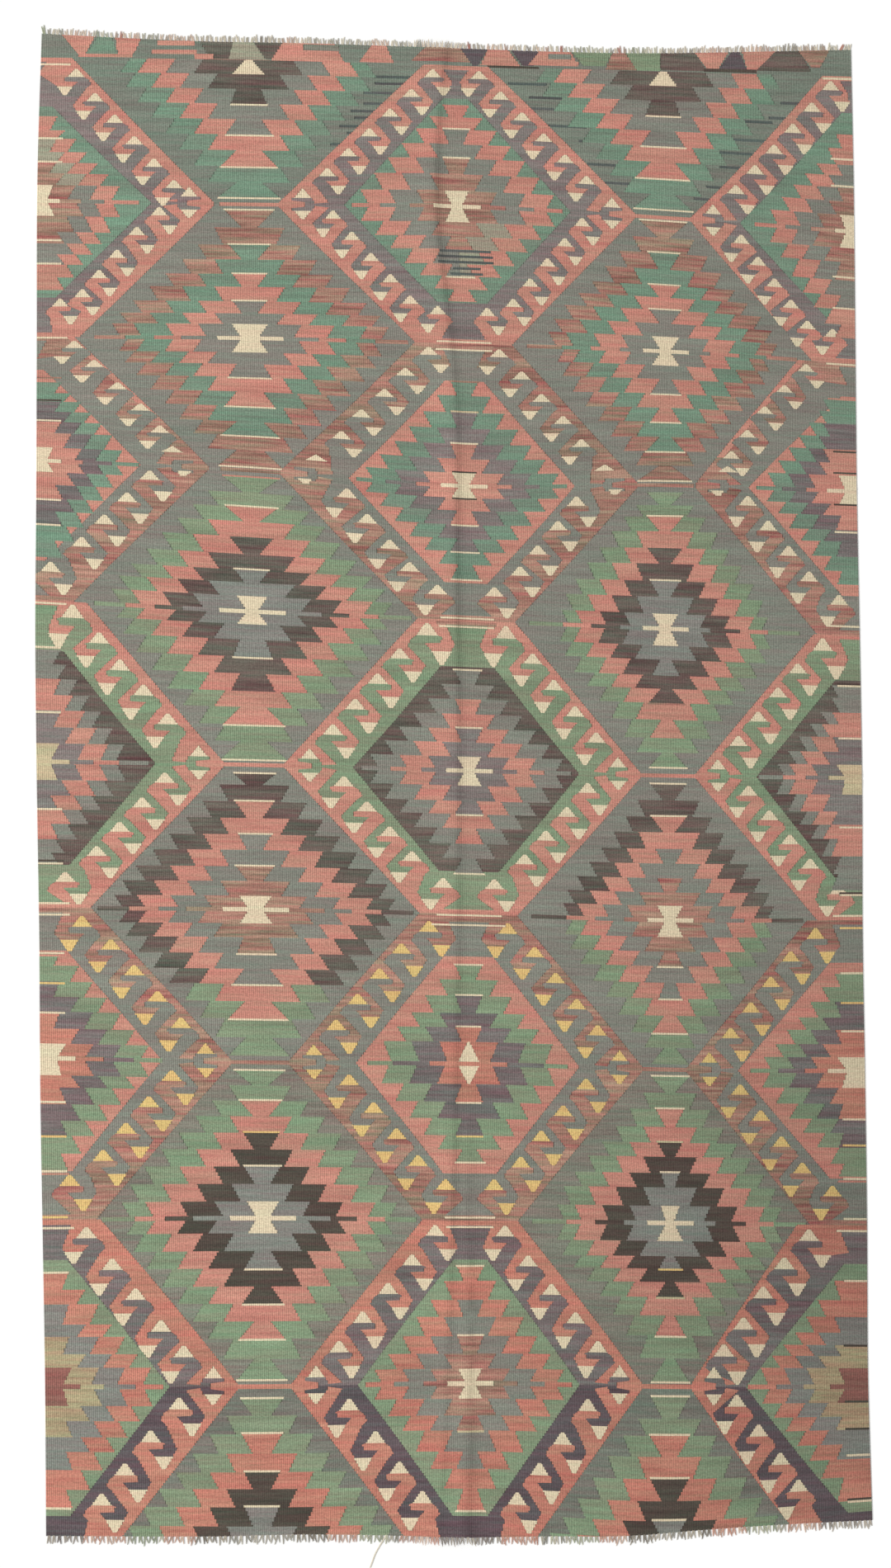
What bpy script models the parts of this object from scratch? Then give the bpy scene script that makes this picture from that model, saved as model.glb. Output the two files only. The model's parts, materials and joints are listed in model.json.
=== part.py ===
"""A handwoven kilim rug lying flat on a floor, with one soft storage crease from end to end.

Metres, +Z up. The underside lies on Z = 0, +X runs across the rug and +Y along it, and the origin
is under the middle of the whole rug, fringes included.
"""

import bisect
import math

import bmesh
import bpy

# The cloth.
CLOTH_THICKNESS = 0.0025
ROWS_ALONG = 36
PANELS_EACH_SIDE = 12

# The selvedges, by the share of the length from the bottom hem: how far each one lies from the
# rug's long middle line.
SELVEDGES = (
    # along, left, right
    (0.0, -0.829, 0.858),
    (0.1, -0.831, 0.849),
    (0.2, -0.836, 0.847),
    (0.3, -0.841, 0.843),
    (0.4, -0.843, 0.838),
    (0.5, -0.848, 0.837),
    (0.6, -0.851, 0.832),
    (0.7, -0.849, 0.826),
    (0.8, -0.848, 0.823),
    (0.9, -0.847, 0.820),
    (1.0, -0.838, 0.814),
)

# The hems, by the share of the width from the left selvedge: how far each one lies from the
# rug's short middle line.
HEMS = (
    # across, bottom, top
    (0.0, -1.530, 1.537),
    (0.1, -1.531, 1.528),
    (0.2, -1.531, 1.521),
    (0.3, -1.527, 1.518),
    (0.4, -1.529, 1.513),
    (0.5, -1.533, 1.507),
    (0.6, -1.531, 1.501),
    (0.7, -1.530, 1.497),
    (0.8, -1.517, 1.498),
    (0.9, -1.506, 1.501),
    (1.0, -1.498, 1.504),
)

# The crease's crest, by the share of the length from the bottom hem: where it lies from the long
# middle line, and how high the cloth stands off the floor there.
CREASE = (
    # along, across, height
    (0.00, 0.026, 0.0025),
    (0.15, 0.020, 0.0035),
    (0.30, 0.013, 0.0050),
    (0.42, 0.009, 0.0045),
    (0.55, 0.005, 0.0050),
    (0.66, 0.001, 0.0060),
    (0.76, -0.001, 0.0045),
    (0.82, -0.017, 0.0055),
    (0.88, -0.039, 0.0070),
    (0.95, -0.037, 0.0055),
    (1.00, -0.021, 0.0045),
)

# A cut across the crease: the left side rises slowly, the right side drops steeply to a long foot.
CREASE_SECTION = (
    # from the crest, share of the height
    (-0.095, 0.0),
    (-0.060, 0.16),
    (-0.030, 0.55),
    (-0.008, 0.95),
    (0.000, 1.0),
    (0.007, 0.93),
    (0.024, 0.40),
    (0.050, 0.12),
    (0.090, 0.0),
)

# The fringes: cut warp ends, drawn as one comb along each hem.
PIECE_GAP = 0.0004
FRINGE_THICKNESS = 0.0016
FRINGE_ROOT = 0.003
FRINGE_PITCH = 0.020
ROOT_SHARE = 0.62
TIP_SHARE = 0.38
TOP_TUFT_LENGTH = 0.0125
BOTTOM_TUFT_LENGTH = 0.0140
TUFT_UNEVENNESS = 0.0012
TUFT_LEAN = 0.0020

# The one stray warp end, past the bottom hem.
STRAY_ACROSS = 0.392
STRAY_SIDEWAYS = -0.033
STRAY_LENGTH = 0.068
STRAY_WIDTH = 0.0035

# Colours, linear, and roughness.
WOOL_COLOUR = (0.27, 0.22, 0.17, 1.0)
WARP_COLOUR = (0.62, 0.56, 0.45, 1.0)
WOOL_ROUGHNESS = 0.92


def clear_scene():
    for old in list(bpy.data.objects):
        bpy.data.objects.remove(old, do_unlink=True)


def reading(table, column, place):
    """The column's value at a place, on a smooth curve through the table's rows."""
    places = [row[0] for row in table]
    values = [row[column] for row in table]
    last = len(places) - 1
    right = min(max(bisect.bisect_right(places, place), 1), last)
    left = right - 1
    span = places[right] - places[left]
    share = (place - places[left]) / span

    def slope(at):
        before = max(at - 1, 0)
        after = min(at + 1, last)
        return (values[after] - values[before]) / (places[after] - places[before])

    rise = values[right] - values[left]
    bend_left = slope(left) * span - rise
    bend_right = rise - slope(right) * span
    blend = (1 - share) * bend_left + share * bend_right
    return values[left] + share * rise + share * (1 - share) * blend


def cloth_point(across, along):
    """A point of the flat cloth, from its shares of the width and of the length."""
    left = reading(SELVEDGES, 1, along)
    right = reading(SELVEDGES, 2, along)
    bottom = reading(HEMS, 1, across)
    top = reading(HEMS, 2, across)
    return left + (right - left) * across, bottom + (top - bottom) * along


def row_of_shares(along):
    """Shares of the width in one row: even panels beside the crease, and its own close columns."""
    left = reading(SELVEDGES, 1, along)
    right = reading(SELVEDGES, 2, along)
    crest = reading(CREASE, 1, along)
    folds = [(crest + row[0] - left) / (right - left) for row in CREASE_SECTION]
    steps = [step / PANELS_EACH_SIDE for step in range(PANELS_EACH_SIDE)]
    before = [folds[0] * step for step in steps]
    after = [1 - (1 - folds[-1]) * step for step in reversed(steps)]
    return before + folds + after


def row_of_heights(along):
    """How high the underside stands off the floor, for each of a row's shares."""
    height = reading(CREASE, 2, along)
    flat = [0.0] * PANELS_EACH_SIDE
    return flat + [height * row[1] for row in CREASE_SECTION] + flat


def row_of_points(along):
    """One row of the underside, from selvedge to selvedge."""
    points = []
    for across, height in zip(row_of_shares(along), row_of_heights(along)):
        x, y = cloth_point(across, along)
        points.append((x, y, height))
    return points


def on_row(points, share):
    """A point at a share of the way across a row of points."""
    x = points[0][0] + (points[-1][0] - points[0][0]) * share
    right = min(max(bisect.bisect_right([point[0] for point in points], x), 1), len(points) - 1)
    start = points[right - 1]
    end = points[right]
    part = (x - start[0]) / (end[0] - start[0])
    return x, start[1] + (end[1] - start[1]) * part, start[2] + (end[2] - start[2]) * part


def material(name, colour):
    made = bpy.data.materials.new(name)
    made.use_nodes = True
    shader = made.node_tree.nodes["Principled BSDF"]
    shader.inputs["Base Color"].default_value = colour
    shader.inputs["Roughness"].default_value = WOOL_ROUGHNESS
    shader.inputs["Metallic"].default_value = 0.0
    return made


def sheet_object(name, bm, thickness, colour):
    """Closes the underside's faces into a sheet of one thickness, and makes it an object."""
    raised = bmesh.ops.extrude_face_region(bm, geom=bm.faces[:])
    top = [item for item in raised["geom"] if isinstance(item, bmesh.types.BMVert)]
    bmesh.ops.translate(bm, verts=top, vec=(0.0, 0.0, thickness))
    bmesh.ops.recalc_face_normals(bm, faces=bm.faces[:])
    mesh = bpy.data.meshes.new(name)
    bm.to_mesh(mesh)
    bm.free()
    made = bpy.data.objects.new(name, mesh)
    made.data.materials.append(material(name + "_wool", colour))
    bpy.context.scene.collection.objects.link(made)
    return made


def woven_field():
    bm = bmesh.new()
    rows = []
    for step in range(ROWS_ALONG + 1):
        rows.append([bm.verts.new(point) for point in row_of_points(step / ROWS_ALONG)])
    for lower, upper in zip(rows, rows[1:]):
        for column in range(len(lower) - 1):
            corners = (lower[column], lower[column + 1], upper[column + 1], upper[column])
            bm.faces.new(corners)
    return sheet_object("woven_field", bm, CLOTH_THICKNESS, WOOL_COLOUR)


def tuft_reach(number, length):
    """How far a tuft's tip leans sideways and reaches past its root."""
    lean = TUFT_LEAN * math.sin(2.4 * number)
    reach = length + TUFT_UNEVENNESS * math.sin(1.7 * number)
    return lean, reach


def fringe(name, along, outward, length, stray_across=None):
    """One comb of warp ends past a hem. Outward is the sign of Y that points away from the cloth."""
    hem = row_of_points(along)
    width = hem[-1][0] - hem[0][0]
    tufts = round(width / FRINGE_PITCH)
    stray = None if stray_across is None else round(stray_across * tufts)
    bm = bmesh.new()

    def at(share, past_hem, sideways=0.0):
        x, y, z = on_row(hem, share)
        return bm.verts.new((x + sideways, y + outward * past_hem, z))

    last = None
    for number in range(tufts):
        middle = (number + 0.5) / tufts
        half_root = ROOT_SHARE / 2 / tufts
        half_tip = TIP_SHARE / 2 / tufts
        lean, reach = tuft_reach(number, length)
        if number == stray:
            lean, reach = STRAY_SIDEWAYS, STRAY_LENGTH
            half_tip = STRAY_WIDTH / 2 / width
        inner_left = at(middle - half_root, PIECE_GAP)
        inner_right = at(middle + half_root, PIECE_GAP)
        outer_left = at(middle - half_root, PIECE_GAP + FRINGE_ROOT)
        outer_right = at(middle + half_root, PIECE_GAP + FRINGE_ROOT)
        tip_left = at(middle - half_tip, PIECE_GAP + reach, lean)
        tip_right = at(middle + half_tip, PIECE_GAP + reach, lean)
        bm.faces.new((inner_left, inner_right, outer_right, outer_left))
        bm.faces.new((outer_left, outer_right, tip_right, tip_left))
        if last:
            bm.faces.new((last[0], inner_left, outer_left, last[1]))
        last = (inner_right, outer_right)
    return sheet_object(name, bm, FRINGE_THICKNESS, WARP_COLOUR)


def centre_on_origin(objects):
    """Moves the rug so that the origin lies under the middle of its outer box."""
    corners = [vertex.co for made in objects for vertex in made.data.vertices]
    for axis in (0, 1):
        values = [corner[axis] for corner in corners]
        middle = (min(values) + max(values)) / 2
        for made in objects:
            made.location[axis] = -middle


def main():
    clear_scene()
    pieces = [
        woven_field(),
        fringe("fringe_top", 1.0, 1, TOP_TUFT_LENGTH),
        fringe("fringe_bottom", 0.0, -1, BOTTOM_TUFT_LENGTH, STRAY_ACROSS),
    ]
    centre_on_origin(pieces)


main()
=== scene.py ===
"""A handwoven kilim rug, lying flat on a pale studio floor and seen from straight above.

The cloth is charted as a weaver would chart it, motif by motif, and the chart is then laid on the
true outline of the rug. Metres, +Z up, +Y towards the top of the rug.
"""

import bisect
import json
import math
import random

import bpy
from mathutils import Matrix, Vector, geometry

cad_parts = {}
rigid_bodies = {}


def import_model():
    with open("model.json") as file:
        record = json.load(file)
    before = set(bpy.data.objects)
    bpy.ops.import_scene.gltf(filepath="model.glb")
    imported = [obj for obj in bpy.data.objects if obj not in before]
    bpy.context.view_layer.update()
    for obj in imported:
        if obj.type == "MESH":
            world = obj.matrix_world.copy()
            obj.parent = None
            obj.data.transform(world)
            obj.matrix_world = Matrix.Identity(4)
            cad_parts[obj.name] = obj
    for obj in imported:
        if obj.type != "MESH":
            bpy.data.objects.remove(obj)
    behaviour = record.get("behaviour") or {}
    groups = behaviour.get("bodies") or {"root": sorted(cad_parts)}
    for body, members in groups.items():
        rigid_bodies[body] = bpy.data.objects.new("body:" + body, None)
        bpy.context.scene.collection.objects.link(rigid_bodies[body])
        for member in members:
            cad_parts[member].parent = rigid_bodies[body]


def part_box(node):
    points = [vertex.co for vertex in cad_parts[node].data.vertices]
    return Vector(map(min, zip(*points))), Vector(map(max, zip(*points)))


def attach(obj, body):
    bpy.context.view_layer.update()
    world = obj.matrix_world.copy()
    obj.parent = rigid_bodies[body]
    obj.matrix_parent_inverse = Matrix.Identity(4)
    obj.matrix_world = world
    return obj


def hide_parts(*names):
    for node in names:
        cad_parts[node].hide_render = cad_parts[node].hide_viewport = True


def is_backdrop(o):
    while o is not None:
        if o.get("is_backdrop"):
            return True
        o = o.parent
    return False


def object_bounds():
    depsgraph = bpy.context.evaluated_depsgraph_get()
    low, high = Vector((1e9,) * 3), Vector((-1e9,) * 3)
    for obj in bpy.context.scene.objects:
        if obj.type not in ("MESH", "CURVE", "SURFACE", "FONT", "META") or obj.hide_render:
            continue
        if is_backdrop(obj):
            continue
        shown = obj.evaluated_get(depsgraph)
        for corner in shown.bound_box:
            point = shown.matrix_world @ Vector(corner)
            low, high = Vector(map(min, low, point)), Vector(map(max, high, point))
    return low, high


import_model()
CAD_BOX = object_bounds()

MM = 0.001

# ------------------------------------------------------------------------------------------------
# The cloth's real size and lie. Metres from the middle of the cloth, before it is centred.
# ------------------------------------------------------------------------------------------------

CLOTH_THICKNESS = 0.0025

# The selvedges, by the share of the length from the bottom hem.
SELVEDGES = (
    # along, left, right
    (0.0, -0.829, 0.858),
    (0.1, -0.831, 0.849),
    (0.2, -0.836, 0.847),
    (0.3, -0.841, 0.843),
    (0.4, -0.843, 0.838),
    (0.5, -0.848, 0.837),
    (0.6, -0.851, 0.832),
    (0.7, -0.849, 0.826),
    (0.8, -0.848, 0.823),
    (0.9, -0.847, 0.820),
    (1.0, -0.838, 0.814),
)

# The hems, by the share of the width from the left selvedge.
HEMS = (
    # across, bottom, top
    (0.0, -1.530, 1.537),
    (0.1, -1.531, 1.528),
    (0.2, -1.531, 1.521),
    (0.3, -1.527, 1.518),
    (0.4, -1.529, 1.513),
    (0.5, -1.533, 1.507),
    (0.6, -1.531, 1.501),
    (0.7, -1.530, 1.497),
    (0.8, -1.517, 1.498),
    (0.9, -1.506, 1.501),
    (1.0, -1.498, 1.504),
)
BOTTOM_HEM, TOP_HEM = 1, 2
MIDDLE_BOTTOM, MIDDLE_TOP = HEMS[5][BOTTOM_HEM], HEMS[5][TOP_HEM]

# The storage crease: where its crest lies, and how high the cloth stands off the floor there. Cut
# across, its left side rises slowly and its right side drops steeply to a long foot.
CREASE = (
    # along, across, height
    (0.00, -0.034, 0.0035),
    (0.13, -0.017, 0.0045),
    (0.22, -0.008, 0.0060),
    (0.30, -0.002, 0.0055),
    (0.42, 0.003, 0.0055),
    (0.55, 0.003, 0.0070),
    (0.66, 0.000, 0.0080),
    (0.76, 0.000, 0.0065),
    (0.82, -0.017, 0.0065),
    (0.88, -0.039, 0.0085),
    (0.95, -0.037, 0.0070),
    (1.00, -0.021, 0.0055),
)
CREASE_SECTION = (
    # from the crest, share of the height
    (-0.095, 0.0),
    (-0.060, 0.16),
    (-0.030, 0.52),
    (-0.009, 0.94),
    (0.000, 1.0),
    (0.006, 0.93),
    (0.020, 0.24),
    (0.042, 0.05),
    (0.090, 0.0),
)

# The lower end was folded twice: a second crest runs up from the bottom hem beside the first.
SECOND_CREASE = (
    # along, across, height
    (0.00, 0.026, 0.0060),
    (0.12, 0.028, 0.0052),
    (0.22, 0.028, 0.0036),
    (0.32, 0.026, 0.0),
)
SECOND_SECTION = (
    # from the crest, share of the height
    (-0.060, 0.0),
    (-0.025, 0.55),
    (0.000, 1.0),
    (0.006, 0.90),
    (0.018, 0.22),
    (0.040, 0.0),
)

# Where the three inner lines of motifs run, by the height on the rug.
COLUMN_LINES = (
    # up, left line, middle line, right line
    (-1.511, -0.388, 0.037, 0.443),
    (-1.218, -0.388, 0.037, 0.445),
    (-0.885, -0.386, 0.037, 0.445),
    (-0.566, -0.393, 0.034, 0.445),
    (-0.256, -0.401, 0.034, 0.445),
    (0.032, -0.404, 0.035, 0.441),
    (0.342, -0.408, 0.030, 0.435),
    (0.613, -0.411, 0.024, 0.435),
    (0.903, -0.413, 0.024, 0.436),
    (1.185, -0.414, 0.010, 0.431),
    (1.505, -0.416, 0.007, 0.431),
)

# Where each half tier of the pattern starts: the weaver beat the lower tiers less hard.
TIER_LINES = (
    # half tier, left selvedge, left line, middle line, right line, right selvedge
    (0, 1.488, 1.483, 1.471, 1.459, 1.449),
    (1, 1.196, 1.188, 1.184, 1.161, 1.132),
    (2, 0.918, 0.915, 0.903, 0.888, 0.863),
    (3, 0.666, 0.645, 0.613, 0.615, 0.602),
    (4, 0.381, 0.357, 0.339, 0.322, 0.308),
    (5, 0.051, 0.044, 0.032, 0.022, 0.017),
    (6, -0.248, -0.251, -0.261, -0.273, -0.273),
    (7, -0.554, -0.563, -0.566, -0.578, -0.581),
    (8, -0.885, -0.881, -0.886, -0.891, -0.896),
    (9, -1.225, -1.225, -1.218, -1.225, -1.225),
    (10, -1.579, -1.584, -1.581, -1.604, -1.565),
)

# ------------------------------------------------------------------------------------------------
# The chart: millimetres, with (0, 0) at the top of the middle line, and up positive.
# ------------------------------------------------------------------------------------------------

COLUMN = 420.0
TIER = 600.0
HALF_TIER = TIER / 2
HALF_WIDTH = 2 * COLUMN
BEYOND_SELVEDGE = 80.0

# Dyes, as the eye sees the dyed wool, and how unevenly each one has taken.
DYES = {
    "salmon": ("BD8474", 0.65),
    "coral": ("B97C6A", 0.8),
    "red": ("A86558", 0.9),
    "rose": ("9F7969", 1.5),
    "madder": ("8C5E55", 0.7),
    "teal": ("738A76", 0.6),
    "green": ("808F73", 0.6),
    "sage": ("97937F", 0.6),
    "slate": ("807F75", 0.55),
    "pewter": ("767C70", 0.6),
    "lead": ("76766C", 0.8),
    "blue": ("807F78", 0.6),
    "mauve": ("7D7470", 0.8),
    "taupe": ("7E7B6F", 0.8),
    "plum": ("736A68", 1.0),
    "purple": ("5E5356", 0.9),
    "umber": ("635951", 1.3),
    "black": ("50473F", 0.9),
    "ink": ("565B58", 0.8),
    "cream": ("D8C8A9", 0.25),
    "yellow": ("D6B676", 0.35),
    "beige": ("BFAF8D", 0.5),
    "tan": ("A99878", 0.8),
}

chart = []


def weave(points, dye):
    """Adds one patch of colour to the chart, over whatever is there."""
    chart.append((list(points), dye))


def weave_about(line, half, side_points, dye):
    """Adds a patch from its right-hand side, listed from top to bottom as (distance, up).

    The patch is the same on both sides of its line. At a selvedge half is 1 or -1 and only that
    side is woven.
    """
    here = half or 1
    points = [(line + here * out, up) for out, up in side_points]
    if half:
        points.append((line - half * BEYOND_SELVEDGE, side_points[-1][1]))
        points.append((line - half * BEYOND_SELVEDGE, side_points[0][1]))
    else:
        points += [(line - out, up) for out, up in reversed(side_points)]
    weave(points, dye)


def weft_line(line, half, reach, low, high, dye):
    """A few passes of one weft, straight across."""
    weave_about(line, half, [(reach, high), (reach, low)], dye)


# The stepped medallions. Rows are counted out from the centre, and a ring of n rows has n - 1
# slanted teeth on each side and a small cap at its top and bottom. Where there are two numbers,
# they are for the part above the centre and for the part below it. A shape's measures are:
#   first, step: the reach of the tooth next to the cap, and how much further each next one reaches
#   slant, foot: how far a tooth's flank runs in, and where the last flank meets the cap
#   core, waist: half widths of the two triangles in the centre, at their ends and where they meet
#   caps, bars: half lengths of the caps, and of each colour of the bar through the centre
#   drawn_in: how much narrower than the rest one ring is, by its number of rows
#   run_out: where a ring's yarn ran out, as medallion() says

# Half the height of the bar, the height of a thin line, and how far a line runs past its cap.
BAR_HALF = 4.2
LINE_HEIGHT = 3.6
CAP_OVERLAP = 2

# After this many steps the teeth fall short of an even flank, more with each step.
STRAIGHT_TEETH = 5
WIDE_TAPER = 5.5

WIDE_BARS = (65.0, 135.0, 189.0, 246.0, 308.0)
NARROW_BARS = (50.0, 98.0, 160.0, 220.0, 290.0)
SMALL = {
    "first": (54.0, 54.0), "step": (28.4, 28.4), "slant": (18.0, 18.0), "foot": (14.0, 14.0),
    "core": (25.0, 25.0), "waist": 9.0, "bars": (48.0, 97.0, 156.0, 214.0), "caps": (27.0, 29.0),
}
FIRST_SMALL = dict(SMALL, run_out=((5, 1, "sage", 1),))
FOURTH_SMALL = dict(
    SMALL, first=(60.0, 65.0), core=(2.0, 2.0), waist=24.0, bars=(48.0, 80.0, 155.0, 205.0))
SMALL_SHAPES = (FIRST_SMALL, SMALL, SMALL, FOURTH_SMALL, SMALL)

# All four caps of a large medallion have cream lines, where its table doesn't say otherwise.
CREAM_LINES = ("cream", "cream", "cream", "cream")


def motif(first, step, slant, foot, caps, core, waist, bars, rows, **more):
    """One medallion's measures, by name. More is its drawn_in, run_out or lines."""
    named = {
        "first": first, "step": step, "slant": slant, "foot": foot, "caps": caps, "core": core,
        "waist": waist, "bars": bars, "rows": rows, "lines": (CREAM_LINES, CREAM_LINES),
    }
    return {**named, **more}


# The half medallions at the selvedges, top tier first: left and right. Rows are real heights.
EDGE_SHAPES = (
    # first, step, slant, foot, caps, core, waist, bars, rows above and below
    (motif((67, 87), (21.8, 18), (18, 16), (36, 52), (50, 68), (44, 47), 33, (59, 100, 147, 215),
           ((33, 24, 22, 22, 27, 17, 28), (30, 32, 23, 22, 21, 26, 26)),
           run_out=((5, -1, "sage", 0),)),
     motif((56, 68), (26, 24), (18, 18), (24, 30), (37, 45), (31, 33), 18, (44, 95, 152, 220),
           ((35, 29, 28, 25, 22, 33, 28), (32, 28, 37, 31, 29, 32, 28)))),
    (motif((94, 100), (20, 19), (16, 16), (60, 62), (74, 77), (57, 58), 45, (74, 117, 173, 225),
           ((26, 29, 23, 21, 21, 18, 22), (24, 27, 29, 27, 30, 30, 34))),
     motif((90, 82), (22.5, 24.6), (18, 18), (64, 42), (80, 53), (46, 46), 31, (71, 119, 173, 227),
           ((30, 25, 27, 26, 27, 25, 24), (28, 24, 30, 24, 30, 29, 27)))),
    (motif((73, 65), (22, 24), (18, 18), (34, 26), (49, 40), (45, 40), 26, (63, 109, 159, 215),
           ((39, 33, 34, 31, 32, 29, 29), (36, 31, 29, 29, 32, 28, 24)), drawn_in={7: 13}),
     motif((86, 86), (24, 24.5), (18, 18), (48, 52), (62, 68), (56, 44), 36, (73, 121, 172, 224),
           ((27, 26, 30, 26, 24, 30, 25), (34, 35, 27, 29, 36, 36, 33)), drawn_in={7: 22})),
    (motif((73, 73), (26.4, 26), (18, 18), (24, 34), (36, 47), (47, 37), 29, (66, 120, 177, 230),
           ((29, 30, 34, 30, 31, 33, 24), (36, 25, 35, 34, 31, 36, 35))),
     motif((68, 54), (25.6, 29), (18, 20), (26, 24), (39, 35), (37, 27), 15, (56, 108, 164, 225),
           ((28, 26, 29, 25, 32, 30, 27), (35, 33, 31, 29, 30, 33, 26)))),
    (motif((69, 75), (24.8, 24.2), (18, 18), (24, 28), (37, 41), (41, 33), 22, (56, 104, 162, 215),
           ((38, 27, 35, 25, 41, 30, 33), (40, 31, 33, 30, 37, 40, 36))),
     motif((92, 89), (24.4, 24.4), (18, 18), (42, 42), (57, 57), (49, 53), 32, (67, 122, 180, 240),
           ((37, 24, 22, 25, 32, 34, 40), (33, 28, 27, 29, 30, 36, 48)))),
)


def levels(row_heights):
    """Heights of the row lines above the centre, from the heights of the rows."""
    lines = [0.0]
    for height in row_heights:
        lines.append(lines[-1] + height)
    return lines


def stepped_side(shape, rows, caps, up, down):
    """The right-hand side of one stepped ring, from its top to its bottom."""

    def tooth_tip(side, row):
        count = rows - row - 1
        tip = shape["first"][side] + shape["step"][side] * count
        drawn_in = shape.get("drawn_in", {}).get(rows, 0)
        return tip - drawn_in - WIDE_TAPER * max(count - STRAIGHT_TEETH, 0) ** 2

    points = []
    if up:
        points += [(caps[0], up[rows]), (shape["foot"][0], up[rows - 1])]
        for row in range(rows - 1, 0, -1):
            tip = tooth_tip(0, row)
            points += [(tip, up[row]), (tip - shape["slant"][0], up[row - 1])]
    if down:
        for row in range(1, rows):
            tip = tooth_tip(1, row)
            points += [(tip - shape["slant"][1], -down[row - 1]), (tip, -down[row])]
        points += [(shape["foot"][1], -down[rows - 1]), (caps[1], -down[rows])]
    return points


def medallion(line, centre, half, shape, rings, up, down, lines, core, bar):
    """A stepped medallion. Rings are (rows, dye, cap at the top, cap at the bottom), inside
    first. The core is two triangles, and the bar runs through it. A run_out is where the weaver
    ran out of a ring's yarn: the ring, the row below the centre (above it if negative), the
    next dye, and the flank, which is 0 for both."""
    up = levels(up) if up else None
    down = levels(down) if down else None

    def placed(points):
        return [(out, centre + height) for out, height in points]

    for rows, dye, cap_up, cap_down in reversed(rings):
        side = placed(stepped_side(shape, rows, (cap_up, cap_down), up, down))
        weave_about(line, half, side, dye)
        for ring_rows, row, next_dye, flank in shape.get("run_out", ()):
            if ring_rows == rows:
                if row < 0:
                    rest = stepped_side(shape, rows, (cap_up, cap_down), up, None)
                    rest = rest[:2 * (rows + row)]
                else:
                    rest = stepped_side(shape, rows, (cap_up, cap_down), None, down)
                    rest = rest[2 * row:]
                rest = [(out if flank >= 0 else 0.0, up) for out, up in placed(rest)]
                last = [(-out if flank <= 0 else 0.0, up) for out, up in reversed(rest)]
                weave([(line + out, up) for out, up in rest + last], next_dye)
    for rows, reach, dye in lines:
        if rows > 0 and not up or rows < 0 and not down:
            continue
        level = up[rows] if rows > 0 else -down[-rows] - LINE_HEIGHT
        weft_line(line, half, reach, centre + level, centre + level + LINE_HEIGHT, dye)
    top = BAR_HALF if up else 0.0
    foot = -BAR_HALF if down else 0.0
    dyes = [bar] + [ring[1] for ring in rings]
    bars = reversed(list(zip(shape["bars"], dyes)))
    for reach, dye in bars:
        weft_line(line, half, reach, centre + foot, centre + top, dye)
    points = [(shape["waist"], 0.0)]
    if up:
        points = [(shape["core"][0], up[1])] + points
    if down:
        points = points + [(shape["core"][1], -down[1])]
    weave_about(line, half, placed(points), core)
    if bar != core:
        weft_line(line, half, shape["bars"][0], centre + foot, centre + top, bar)


# The hooked bands round each diamond. Every unit of the band is an upright triangle, two hooks
# that lock into each other, and a hanging triangle; it is charted once, from the upright
# triangle's tip, and down is positive.
UPRIGHT = ((-3, -1), (-20, 19), (20, 19), (3, -1))
HOOKS = (
    (-51, 31), (-41, 44.5), (-9, 44.5), (5, 31.5), (-24, 30.5), (-27, 21),
    (-17, 18), (17, 18), (29, 25), (36, 37), (26, 45),
)
HANGING = ((-44, 43.5), (-7, 43.5), (-21.5, 65), (-28.5, 65))

# The band's turn at the diamond's side corner, from the corner's own level, and up is positive.
CORNER_HOOK = (
    (260, 5), (288, 3), (294, 15), (334, 15), (334, 9), (308, 6),
    (308, -4), (334, -7), (334, -13), (294, -13), (288, -2), (260, -6),
)
CORNER_UPRIGHT = ((313, 36), (296, 15), (330, 15))
CORNER_HANGING = ((296, -13), (330, -13), (316, -31), (310, -31))
LEANING_UPRIGHT = ((292, 46), (269, 32), (313, 32))
LOW_LENS = ((300, -9), (330, -9), (318, -20), (306, -20))

BORDER_WIDTH = 16.0
OUTER_CORNER = 361.0
OUTER_CORNER_HALF = 5.0
INNER_CORNER = 229.0
CORNER_STEM = 308

# Where two diamonds of a tier meet: the line of weft between their corners.
CORNER_OVERLAP = 2
CORNER_LINE_HALF = 4

# How far the inner hooks' colour stays off the diamond's top and off its foot.
HOOKS_UNDER_TOP = 9.0
HOOKS_OVER_FOOT = 10.0


def tips(first, step, count, *more):
    """The upright triangles' tips down one side of a diamond."""
    even = [(first[0] + step[0] * k, first[1] + step[1] * k) for k in range(count)]
    return even + list(more)


# A band's measures. Tips, scales and the elbow are across first and down second.
#   upper, lower: the upright triangles' tips above and below the diamond's side corner
#   upper_scale, lower_scale, first_scale: the size of the units, and the first one's own share
#   ends: half widths of the whole diamond at its top and foot
#   first_elbow, line_halves: where the inner hooks' colour starts beside the first tip, and half
#     its length at the top and at the foot
#   corner: the two triangles in the side corner
#   inner_corner: how far out the ground inside reaches, where it isn't the usual place
#   border: how much of the upper outer edge has a border of another dye, and that dye
CLOSE_BAND = {
    "upper": tips((47, 11), (43, 42.4), 6), "lower": tips((252, 13), (-37, 46.5), 5, (50, 221)),
    "upper_scale": (0.87, 0.83), "lower_scale": (0.82, 0.88), "first_scale": (1.0, 1.0),
    "ends": (65.0, 97.0), "first_elbow": (8.0, 34.0), "line_halves": (26.0, 44.0),
    "corner": (CORNER_UPRIGHT, CORNER_HANGING),
}
LONG_BAND = {
    "upper": [(80, 10)] + tips((135, 64), (44, 51), 4),
    "lower": tips((247, 20), (-44.3, 51), 4, (50, 219)),
    "upper_scale": (1.0, 1.0), "lower_scale": (1.0, 1.0), "first_scale": (1.0, 1.0),
    "ends": (99.0, 99.0), "first_elbow": (25.0, 52.0), "line_halves": (44.0, 52.0),
    "corner": (CORNER_UPRIGHT, CORNER_HANGING),
}
SECOND_BAND = dict(LONG_BAND, upper_scale=(0.95, 0.82), corner=(LEANING_UPRIGHT, LOW_LENS))
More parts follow.
